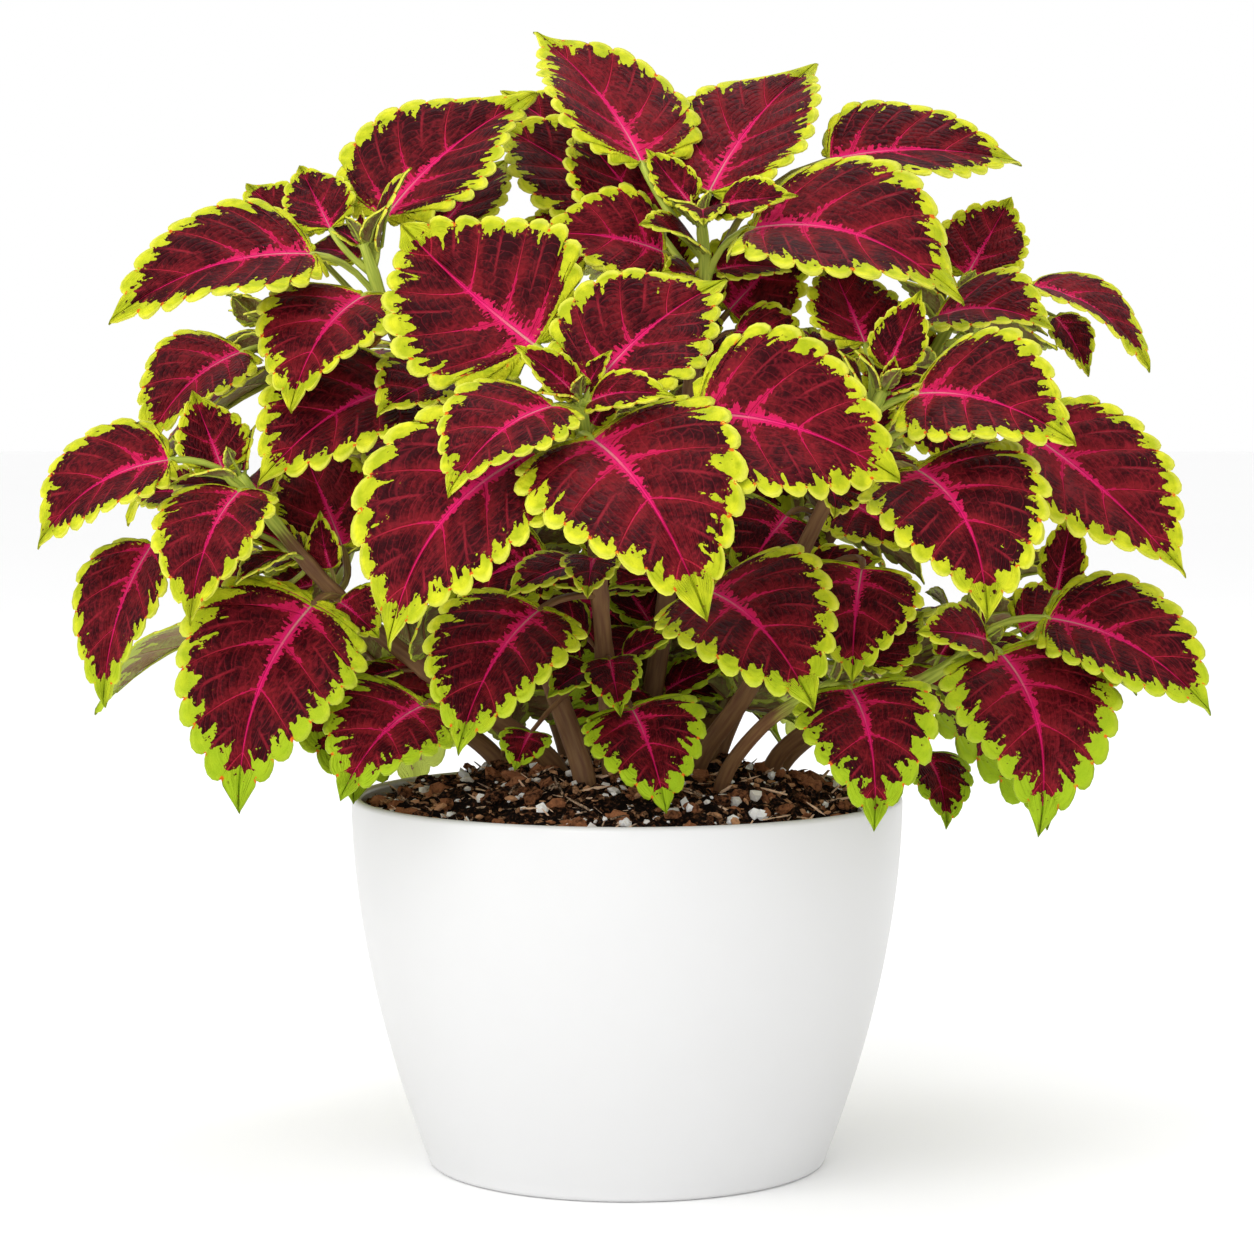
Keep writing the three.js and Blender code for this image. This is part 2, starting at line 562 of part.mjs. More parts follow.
function apart(a, b, gap) {
  const past = (p, q, k) => p.box.min[k] > q.box.max[k] + gap;
  const boxesApart = [0, 1, 2].some((k) => past(a, b, k) || past(b, a, k));
  return boxesApart || a.solid.minGap(b.solid, GAP_SEARCH) >= gap;
}

const obstacles = [boxed(pot, 'pot'), boxed(soil, 'soil')];
shoots.forEach((shoot, index) => obstacles.push(boxed(stemSolids[index], shoot.name)));

function growLeaf(shoot, ownBlades, row) {
  const [below, base, tip, width, arch, bow, face = shoot.face] = row;
  const node = stemPoint(shoot.curve, below);
  const others = obstacles.filter((other) => other.shoot !== shoot.name);
  let fallback = null;
  for (const [back, rise] of BENDS) {
    const bent = vec(tip[0], tip[1] + back, tip[2] + rise);
    const form = leafForm(node, vec(...base), bent, { width, arch, bow, face: vec(...face) });
    const whole = boxed(leafSolid(form, true), shoot.name);
    if (!others.every((other) => apart(whole, other, LEAF_CLEARANCE))) continue;
    const blade = boxed(leafSolid(form, false), shoot.name);
    const leaf = { whole, blade };
    if (ownBlades.every((other) => apart(blade, other, BLADE_CLEARANCE))) return leaf;
    fallback = fallback || leaf;
  }
  return shoot.spare ? null : fallback;
}

const coleus = new THREE.Group();
coleus.name = 'coleus';
coleus.add(nodeMesh('pot', pot, POT_WHITE));
coleus.add(nodeMesh('soil', soil, SOIL_BROWN));
shoots.forEach((shoot, index) => {
  const parts = [stemSolids[index]];
  const blades = [];
  for (const row of shoot.leaves) {
    const leaf = growLeaf(shoot, blades, row);
    if (!leaf) continue;
    obstacles.push(leaf.whole);
    blades.push(leaf.blade);
    parts.push(leaf.whole.solid);
  }
  coleus.add(nodeMesh(shoot.name, wasm.Manifold.union(parts), LEAF_BURGUNDY));
});

export default coleus;
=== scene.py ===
import math

import bmesh
import bpy
import numpy as np
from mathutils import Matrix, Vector, noise
from mathutils.kdtree import KDTree


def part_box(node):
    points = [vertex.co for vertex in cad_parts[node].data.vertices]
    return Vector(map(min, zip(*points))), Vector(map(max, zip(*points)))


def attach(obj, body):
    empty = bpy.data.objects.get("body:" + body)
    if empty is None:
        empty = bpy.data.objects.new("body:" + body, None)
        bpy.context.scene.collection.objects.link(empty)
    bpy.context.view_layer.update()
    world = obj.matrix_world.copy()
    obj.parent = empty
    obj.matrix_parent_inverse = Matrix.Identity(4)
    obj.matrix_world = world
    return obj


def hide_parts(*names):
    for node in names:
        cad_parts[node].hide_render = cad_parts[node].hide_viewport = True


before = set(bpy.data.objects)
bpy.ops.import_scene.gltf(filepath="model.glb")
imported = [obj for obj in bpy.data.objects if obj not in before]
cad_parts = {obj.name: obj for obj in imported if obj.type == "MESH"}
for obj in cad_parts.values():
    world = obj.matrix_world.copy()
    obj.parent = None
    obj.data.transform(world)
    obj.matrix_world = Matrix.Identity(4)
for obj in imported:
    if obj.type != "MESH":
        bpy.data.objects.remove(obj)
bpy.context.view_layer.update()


# ---- The pot -----------------------------------------------------------------------------------
# One shell of polypropylene, injection moulded in plain white: a flat base, a wall that swings out
# and then stands nearly upright, and a fully rounded lip. It is satin, as it leaves the mould.
pot_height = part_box("pot")[1].z
pot_rim_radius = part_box("pot")[1].x
pot_base_radius = 0.054
pot_belly = 1.86
pot_wall = 0.0028
pot_floor = 0.0032
pot_foot_round = 0.0018
pot_inside_corner = 0.001
pot_sides = 144
wall_rings = 40
foot_steps = 6
lip_steps = 12

moulded_white = (0.673, 0.673, 0.673, 1)
moulded_shade = (0.658, 0.658, 0.658, 1)
pot_cloud_grain = 0.03
pot_skin_grain = 0.0004
pot_skin_depth = 0.000012
fine_detail = 3
pot_roughness = (0.31, 0.38)


def pot_radius(z):
    swing = 1 - (1 - z / pot_height) ** pot_belly
    return pot_base_radius + (pot_rim_radius - pot_base_radius) * swing


def arc(radius, height, round_radius, start, end, steps):
    angles = np.linspace(start, end, steps + 1)
    return [(radius + round_radius * math.cos(a), height + round_radius * math.sin(a)) for a in angles]


def turned_mesh(name, outline, sides):
    """A solid of revolution about Z, whose outline of (radius, height) starts and ends on the axis."""
    rings = outline[1:-1]
    turns = np.linspace(0, 2 * math.pi, sides, endpoint=False)
    vertices = [(r * math.cos(t), r * math.sin(t), z) for r, z in rings for t in turns]
    faces = []
    for ring in range(len(rings) - 1):
        for side in range(sides):
            a = ring * sides + side
            b = ring * sides + (side + 1) % sides
            faces.append((a, b, b + sides, a + sides))
    first = len(vertices)
    last = first + 1
    top = (len(rings) - 1) * sides
    for side in range(sides):
        following = (side + 1) % sides
        faces.append((first, following, side))
        faces.append((last, top + side, top + following))
    vertices += [(0, 0, outline[0][1]), (0, 0, outline[-1][1])]
    mesh = bpy.data.meshes.new(name)
    mesh.from_pydata(vertices, [], faces)
    mesh.shade_smooth()
    return mesh


def new_piece(name, mesh, materials):
    piece = bpy.data.objects.new(name, mesh)
    bpy.context.scene.collection.objects.link(piece)
    for material in materials:
        mesh.materials.append(material)
    return piece


class Value:
    """A number that varies over a surface. What is worked out from it adds nodes to the same tree."""

    def __init__(self, wiring, socket):
        self.wiring = wiring
        self.socket = socket

    def __add__(self, other):
        return self.wiring.calc("ADD", self, other)

    def __sub__(self, other):
        return self.wiring.calc("SUBTRACT", self, other)

    def __rsub__(self, other):
        return self.wiring.calc("SUBTRACT", other, self)

    def __mul__(self, other):
        return self.wiring.calc("MULTIPLY", self, other)

    def __abs__(self):
        return self.wiring.calc("ABSOLUTE", self)

    def larger(self, other):
        return self.wiring.calc("MAXIMUM", self, other)

    def from_half(self):
        """How far its fraction lies from a half."""
        return abs(self.wiring.calc("FRACT", self) - 0.5)

    def ramp(self, low, high, low_result=0.0, high_result=1.0):
        """Goes smoothly from the first result to the second between the two bounds."""
        sockets = {"Value": self, "From Min": low, "From Max": high,
                   "To Min": low_result, "To Max": high_result}
        made = self.wiring.node("ShaderNodeMapRange", sockets, interpolation_type="SMOOTHSTEP")
        return Value(self.wiring, made.outputs["Result"])

    def spread(self, low_result=0.0, high_result=1.0):
        """A ramp over the middle of a noise, where most of its values lie."""
        return self.ramp(0.3, 0.7, low_result, high_result)

    def within(self, limit, inner, outer):
        """1 up to the limit and 0 beyond it, with a soft edge that reaches this far in and out."""
        return self.ramp(limit - inner, limit + outer, 1.0, 0.0)


class Wiring:
    """Adds nodes to a material or a node group and joins them up."""

    def __init__(self, tree):
        self.tree = tree

    def feed(self, socket, value):
        if isinstance(value, Value):
            value = value.socket
        if isinstance(value, bpy.types.NodeSocket):
            self.tree.links.new(value, socket)
        else:
            socket.default_value = value

    def node(self, kind, sockets=None, **settings):
        made = self.tree.nodes.new(kind)
        for name, value in settings.items():
            setattr(made, name, value)
        for key, value in (sockets or {}).items():
            self.feed(made.inputs[key], value)
        return made

    def calc(self, operation, *values):
        made = self.node("ShaderNodeMath", dict(enumerate(values)), operation=operation)
        return Value(self, made.outputs[0])

    def mixed(self, share, low, high):
        """A colour between two others, which go into the node's sixth and seventh sockets."""
        made = self.node("ShaderNodeMix", {0: share, 6: low, 7: high}, data_type="RGBA")
        return made.outputs[2]

    def speckle(self, place, grain, detail=2.0, roughness=0.5):
        """Noise of about the given grain, in the unit of the place."""
        sockets = {"Vector": place, "Scale": 1 / grain, "Detail": detail, "Roughness": roughness}
        return Value(self, self.node("ShaderNodeTexNoise", sockets).outputs[0])

    def place(self):
        return self.node("ShaderNodeTexCoord").outputs["Object"]

    def vector(self, *parts):
        return self.node("ShaderNodeCombineXYZ", dict(enumerate(parts))).outputs[0]

    def parts(self, vector):
        made = self.node("ShaderNodeSeparateXYZ", {0: vector})
        return [Value(self, part) for part in made.outputs[:3]]

    def painted(self, name):
        """The three values that a mesh carries at each vertex under this name."""
        return self.parts(self.node("ShaderNodeAttribute", attribute_name=name).outputs["Vector"])

    def cover(self, shader, colour, roughness, height, depth):
        """Gives a shader a colour, a roughness and a relief that all vary over the surface."""
        bump = self.node("ShaderNodeBump", {"Height": height, "Distance": depth})
        self.feed(shader.inputs["Base Color"], colour)
        self.feed(shader.inputs["Roughness"], roughness)
        self.feed(shader.inputs["Normal"], bump.outputs["Normal"])


def new_material(name):
    material = bpy.data.materials.new(name)
    material.use_nodes = True
    wiring = Wiring(material.node_tree)
    return material, wiring, material.node_tree.nodes["Principled BSDF"]


def moulded_plastic():
    material, wiring, shader = new_material("moulded white plastic")
    place = wiring.place()
    cloud = wiring.speckle(place, pot_cloud_grain)
    skin = wiring.speckle(place, pot_skin_grain, fine_detail)
    colour = wiring.mixed(cloud, moulded_shade, moulded_white)
    wiring.cover(shader, colour, cloud.spread(*pot_roughness), skin, pot_skin_depth)
    return material


pot_lip_round = pot_wall / 2
pot_lip_height = pot_height - pot_lip_round
pot_heights = np.linspace(pot_foot_round, pot_lip_height, wall_rings)
foot_middle = pot_radius(pot_foot_round) - pot_foot_round
lip_middle = pot_rim_radius - pot_lip_round
pot_outline = [
    (0, 0),
    *arc(foot_middle, pot_foot_round, pot_foot_round, -math.pi / 2, 0, foot_steps),
    *[(pot_radius(z), z) for z in pot_heights[1:-1]],
    *arc(lip_middle, pot_lip_height, pot_lip_round, 0, math.pi, lip_steps),
    *[(pot_radius(z) - pot_wall, z) for z in pot_heights[-2:2:-1]],
    (pot_radius(pot_floor) - pot_wall - pot_inside_corner, pot_floor),
    (0, pot_floor),
]
pot_shell = new_piece("pot_shell", turned_mesh("pot_shell", pot_outline, pot_sides), [moulded_plastic()])
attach(pot_shell, "root")
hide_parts("pot")


# ---- The potting soil ----------------------------------------------------------------------------
# Moist peat with bark crumbs, coir shreds and white grains of expanded perlite. It fills the pot to
# just under the lip and is heaped a little towards the stems.
soil_edge_height = 0.0965
soil_crown = 0.012
soil_lump = 0.0009
soil_waves = ((210, 130), (-90, 240))
soil_gap = 0.0003
soil_sides = 180
soil_rings = 70
soil_wall_foot = 0.012
soil_wall_rings = 12
soil_grain = 0.0026
soil_grain_width = 0.006
soil_grain_layers = (0.9, 2.1, 5)  # how fast the finer layers fade, how much finer each is, how many
soil_calming = 12

grain_reach = 0.985
grain_raggedness = 0.36
grain_stretches = (0.7, 1.2)
grain_lying_flat = (2, 2, 6)
grain_rise = 0.15

# The peat and bark colours run from near black in the hollows of the crumb relief to light on its tops:
# partly their own tones, partly painted shade in the hollows and painted highlight on the tops.
peat_dark_and_hollow_shade = (0.005, 0.0020, 0.0010, 1)
peat_brown_and_crest_highlight = (0.38, 0.150, 0.065, 1)
dry_peat_and_crest_highlight = (0.66, 0.34, 0.17, 1)
bark_and_crest_highlight = (0.86, 0.58, 0.38, 1)
perlite_white = (0.97, 0.965, 0.95, 1)
perlite_stained = (0.80, 0.75, 0.68, 1)
crumb_noise = (5, 0.65)
patch_grain = 0.009
crumb_weight = 0.8
patch_weight = 0.3
tone_weight = 0.35
light_from_dark = (0.54, 0.84)
earth_roughness = (0.98, 0.82)
earth_gleam = 0.1


def soil_radius(z):
    return pot_radius(z) - pot_wall - soil_gap


def soil_surface(x, y):
    out = math.hypot(x, y) / soil_radius(soil_edge_height)
    lumps = math.prod(math.sin(x * along_x + y * along_y) for along_x, along_y in soil_waves)
    settled = soil_crown * (1 - out**2) + soil_lump * lumps * (1 - out**4)
    rough = noise.fractal(Vector((x, y, 0)) / soil_grain_width, *soil_grain_layers) * soil_grain
    return soil_edge_height + settled + rough * min(1, soil_calming * (1 - out))


def scattered(name, seed, count, sizes, stretch, level, material):
    """Irregular grains that lie half sunk in the soil's surface, fused in one mesh."""
    draws = np.random.default_rng(seed)
    pattern = bpy.data.meshes.new("grain")
    shaping = bmesh.new()
    bmesh.ops.create_icosphere(shaping, subdivisions=level, radius=1)
    shaping.to_mesh(pattern)
    shaping.free()
    corners = np.array([v.co for v in pattern.vertices])
    sides = np.array([f.vertices for f in pattern.polygons])
    bpy.data.meshes.remove(pattern)
    vertices = []
    faces = []
    tones = []
    for _ in range(count):
        turn = draws.uniform(0, 2 * math.pi)
        away = soil_radius(soil_edge_height) * grain_reach * math.sqrt(draws.uniform(0, 1))
        size = sizes[0] + (sizes[1] - sizes[0]) * draws.uniform(0, 1) ** 2
        shape = corners * (1 + draws.uniform(-grain_raggedness, grain_raggedness, (len(corners), 1)))
        shape = shape * np.array(stretch) * draws.uniform(*grain_stretches, 3) * size / 2
        axes = np.linalg.qr(draws.normal(size=(3, 3)) + np.diag(grain_lying_flat))[0]
        x = away * math.cos(turn)
        y = away * math.sin(turn)
        seat = np.array([x, y, soil_surface(x, y) + size * min(stretch) * grain_rise])
        faces.append(sides + len(vertices) * len(corners))
        vertices.append(shape @ axes.T + seat)
        tones += [draws.uniform(0, 1)] * len(corners)
    mesh = bpy.data.meshes.new(name)
    mesh.from_pydata(np.concatenate(vertices), [], np.concatenate(faces).tolist())
    mesh.attributes.new("tone", "FLOAT", "POINT").data.foreach_set("value", tones)
    return new_piece(name, mesh, [material])


def earthy(name, dark, light, pits, depth):
    material, wiring, shader = new_material(name)
    place = wiring.place()
    tone = Value(wiring, wiring.node("ShaderNodeAttribute", attribute_name="tone").outputs["Fac"])
    crumb = wiring.speckle(place, pits, *crumb_noise)
    patch = wiring.speckle(place, patch_grain)
    blend = crumb * crumb_weight + tone * tone_weight + patch * patch_weight
    # The colour follows the relief's crumb noise, so peat and bark are darkened as painted shade in its
    # hollows and lightened as painted highlight on its tops.
    colour = wiring.mixed(blend.ramp(*light_from_dark), dark, light)
    wiring.cover(shader, colour, crumb.spread(*earth_roughness), crumb, depth)
    shader.inputs["Specular IOR Level"].default_value = earth_gleam
    return material


soil_edge_radius = soil_radius(soil_edge_height)
soil_outline = [
    (0, pot_floor + soil_gap),
    (pot_radius(pot_floor) - pot_wall - pot_inside_corner - soil_gap, pot_floor + soil_gap),
    *[(soil_radius(z), z) for z in np.linspace(soil_wall_foot, soil_edge_height, soil_wall_rings)],
    *[(soil_edge_radius * share, pot_height) for share in np.linspace(1, 0, soil_rings)[1:]],
]
soil_mesh = turned_mesh("soil_bed", soil_outline, soil_sides)
for vertex in soil_mesh.vertices:
    if vertex.co.z > soil_edge_height + soil_lump:
        vertex.co.z = soil_surface(vertex.co.x, vertex.co.y)

peat = earthy("moist peat", peat_dark_and_hollow_shade, peat_brown_and_crest_highlight, 0.0011, 0.0016)
dry_peat = earthy("drier peat", peat_dark_and_hollow_shade, dry_peat_and_crest_highlight, 0.0009, 0.0012)
bark = earthy("bark and coir", peat_dark_and_hollow_shade, bark_and_crest_highlight, 0.0009, 0.0006)
perlite = earthy("perlite", perlite_stained, perlite_white, 0.0007, 0.0003)
soil_bed = new_piece("soil_bed", soil_mesh, [peat])
soil_clods = scattered("soil_clods", 5, 330, (0.0022, 0.0062), (1.2, 0.8, 0.6), 2, peat)
soil_crumbs = scattered("soil_crumbs", 11, 1500, (0.0008, 0.0032), (1.3, 0.8, 0.6), 1, dry_peat)
bark_shreds = scattered("bark_shreds", 23, 620, (0.0010, 0.0030), (3.6, 0.40, 0.28), 1, bark)
perlite_grains = scattered("perlite_grains", 37, 400, (0.0009, 0.0042), (1, 0.95, 0.85), 1, perlite)
for piece in (soil_bed, soil_clods, soil_crumbs, bark_shreds, perlite_grains):
    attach(piece, "root")
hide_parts("soil")


# ---- The crown shoot -----------------------------------------------------------------------------
# The tallest shoot of the plant: a square stem that ends in a rosette of unfolding leaves over older
# pairs, each pair crossing the last. Leaf and stem grew as one. Its form is given in millimetres.
MM = 0.001
stem_root_width = 6
stem_top_width = 2.6
stem_taper_length = 150
stem_taper_power = 0.7
stem_buried = 24
stem_line_steps = 200
tangent_reach = 0.5

blade_thickness = 0.5
blade_fold = 0.4
fold_softness = 0.04
blade_droop = 0.18
blade_base_power = 0.5
blade_tip_power = 1.12
blade_widest = blade_base_power / (blade_base_power + blade_tip_power)
stalk_width = 2.6
blade_neck = 0.42
stalk_lead = 0.5
ruffle = 0.035
ruffle_turn = 9
ruffle_offset = 2
ruffle_phases = 7


def unit(v):
    return v / np.linalg.norm(v, axis=-1, keepdims=True)


class Stem:
    """The line of a stem through its places, from its buried foot to its top."""

    def __init__(self, places):
        root = np.array(places[0], float)
        self.places = np.array([root - (0, 0, stem_buried), *places], float)
        self.shares = np.linspace(0, 1, stem_line_steps + 1)
        line = np.array([self.curve(share) for share in self.shares])
        steps = np.linalg.norm(np.diff(line, axis=0), axis=1)
        self.run = np.concatenate([[0], np.cumsum(steps)])
        self.length = self.run[-1]

    def curve(self, share):
        """A centripetal Catmull-Rom line."""
        last = len(self.places) - 1
        start = min(int(share * last), last - 1)
        weight = share * last - start
        before, after = self.places[start], self.places[start + 1]
        earlier = self.places[start - 1] if start else 2 * before - after
        later = self.places[start + 2] if start + 2 <= last else 2 * after - before
        ends = ((earlier, before), (before, after), (after, later))
        spans = [math.sqrt(math.dist(a, b)) for a, b in ends]
        leaving = (before - earlier) / spans[0] - (after - earlier) / (spans[0] + spans[1])
        leaving = (leaving + (after - before) / spans[1]) * spans[1]
        arriving = (after - before) / spans[1] - (later - before) / (spans[1] + spans[2])
        arriving = (arriving + (later - after) / spans[2]) * spans[1]
        square = -3 * before + 3 * after - 2 * leaving - arriving
        cube = 2 * before - 2 * after + leaving + arriving
        return before + leaving * weight + square * weight**2 + cube * weight**3

    def at(self, below):
        """The point that lies this far below the top."""
        return self.curve(float(np.interp(self.length - below, self.run, self.shares)))

    def along(self, below):
        return unit(self.at(max(below - tangent_reach, 0)) - self.at(below + tangent_reach))


def half_width_share(b):
    """A blade's width at the share b of its length, as a share of its greatest width."""
    b = np.clip(b, 0, 1)
    return (b / blade_widest) ** blade_base_power * ((1 - b) / (1 - blade_widest)) ** blade_tip_power


class Leaf:
    """A stalk from the stem to the blade's base, and a midrib that arches on to the tip."""

    def __init__(self, stem, below, base, tip, width, arch, bow, face):
        node, base, tip = (np.array(p, float) for p in (stem.at(below), base, tip))
        self.below = below
        self.length = math.dist(base, tip)
        along = (tip - base) / self.length
        up = unit(np.array(face, float) - along * np.dot(face, along))
        self.side = np.cross(along, up)
        bend = (base + tip) / 2 + up * 2 * arch * self.length + self.side * 2 * bow * self.length
        self.midrib = (base, bend, tip)
        lead = unit(bend - base) * stalk_lead * math.dist(node, base)
        self.stalk = (node, base - lead, base)
        self.stalk_length = math.dist(node, base)
        self.width = width
        self.phase = (abs(tip[0]) + abs(tip[2])) % ruffle_phases

    def on(self, line, share, out, lift):
        share, out, lift = (np.asarray(v, float)[..., None] for v in (share, out, lift))
        start, bend, end = line
        point = (1 - share) ** 2 * start + 2 * share * (1 - share) * bend + share**2 * end
        tangent = unit((1 - share) * (bend - start) + share * (end - bend))
        normal = unit(np.cross(self.side, tangent))
        return point + np.cross(tangent, normal) * out + normal * lift

    def on_blade(self, share, out, lift):
        return self.on(self.midrib, share, out, lift)

    def on_stalk(self, share, out, lift):
        return self.on(self.stalk, share, out, lift)

    def half(self, b):
        return np.maximum(stalk_width * blade_neck, self.width / 2 * half_width_share(b))

    def wave(self, b, hand):
        swing = np.sin(self.phase + ruffle_turn * b + ruffle_offset * hand)
        return ruffle * self.width * swing * np.sqrt(np.clip(b, 0, 1))

    def margin_lift(self, b, hand):
        return self.half(b) * (blade_fold - blade_droop) + self.wave(b, hand)


# The solid leaves were bent aside until they stood clear. Each is found again by its tip and notches.
solid_scallops = ((45, 5), (33, 4), (21, 3), (0, 2))
solid_last_notch = 0.9
solid_spread = 1.35
solid_half_thickness = 0.4
bend_steps = (5, 10, 15, 20)
bends = [(0, 0)]
for step in bend_steps:
    bends += [(step, 0), (-step, 0), (0, step), (0, -step)]
mark_tolerance = 0.1
marks_needed = 2


def landmarks(leaf):
    count = next(scallops for width, scallops in solid_scallops if leaf.width >= width)
    notches = solid_last_notch * (np.arange(1, count + 1) / count) ** solid_spread
    marks = [leaf.on_blade(1, 0, lift) for lift in (-solid_half_thickness, solid_half_thickness)]
    for hand in (-1, 1):
        lift = leaf.margin_lift(notches, hand)
        marks += list(leaf.on_blade(notches, hand * leaf.half(notches), lift + solid_half_thickness))
    return marks


def tree_of(points):
    """Finds the nearest of the points to any place."""
    tree = KDTree(len(points))
    for index, point in enumerate(points):
        tree.insert(point, index)
    tree.balance()
    return tree


def as_grown(node_name, stem, face, rows, spare):
    """The leaves of a shoot, each with the bend that the frame's solid shows."""
    solid = tree_of([vertex.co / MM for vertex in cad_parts[node_name].data.vertices])
    leaves = []
    for below, base, tip, width, arch, bow, *own_face in rows:
        best = (0, None)
        for back, rise in bends:
            place = (tip[0], tip[1] + back, tip[2] + rise)
            leaf = Leaf(stem, below, base, place, width, arch, bow, own_face[0] if own_face else face)
            found = sum(solid.find(Vector(mark))[2] < mark_tolerance for mark in landmarks(leaf))
            if found > best[0] or best[1] is None:
                best = (found, leaf)
        if best[0] >= marks_needed or not spare:
            leaves.append(best[1])
    return leaves


first_seed = 1000
seed_step = 37
wide_blade = 34
narrow_blade = 15
scallop_widths = (8, 14, 22, 32, 42)
scallop_counts = (4, 6, 8, 9.6, 11.2)
# How finely a blade is divided, for wide, middling and narrow ones: along a scallop, along the tip, and
# from the midrib outwards.
scallop_steps = ((0, 0.07, 0.22, 0.45, 0.7, 0.9), (0, 0.18, 0.5, 0.82), (0, 0.25, 0.7))
tip_steps = ((0, 0.16, 0.34, 0.54, 0.74, 0.9), (0, 0.25, 0.5, 0.8), (0, 0.4, 0.8))
cross_steps = (
    (0.04, 0.11, 0.22, 0.36, 0.52, 0.68, 0.82, 0.93, 1),
    (0.06, 0.18, 0.36, 0.56, 0.76, 0.92, 1),
    (0.12, 0.4, 0.7, 0.92, 1),
)
outline_steps = 900
neck_steps = 200
margin_skip = 6
taper_start = 0.6
taper_length = 0.3
taper_power = 1.5
tip_taper = 0.28
tip_start = 0.87
tip_shoulder = 0.2
tip_swelling = 0.4
tip_roundness = 0.6
tip_inset = -0.01
tip_vein_gap = 0.1
scallop_depth = 0.14
scallop_lean = 0.16
scallop_growth = 1.12
scallop_fading = 0.4
scallop_skew = 0.9
scallop_roundness = 0.62
scallop_sizes = (0.8, 1.2)
first_scallop = 0.7
vein_sweep = 2.0
vein_bow = 1.25
widest_across = 1.3
quilt_height = 0.019
quilt_width = 0.05
quilt_from_rib = 0.14
cupping = 0.016
ridge_height = 0.4
ridge_width = 0.5
groove_depth = 0.2
groove_width = 0.7
groove_ending = (4, 5)  # full depth up to 0.6 of the length, none from 0.8 on


def plainness(leaf):
    """0 for a wide blade, which is finely divided, to 2 for a narrow one."""
    return (leaf.width < wide_blade) + (leaf.width < narrow_blade)


def hump(distance, width):
    return np.exp(-((distance / width) ** 2))


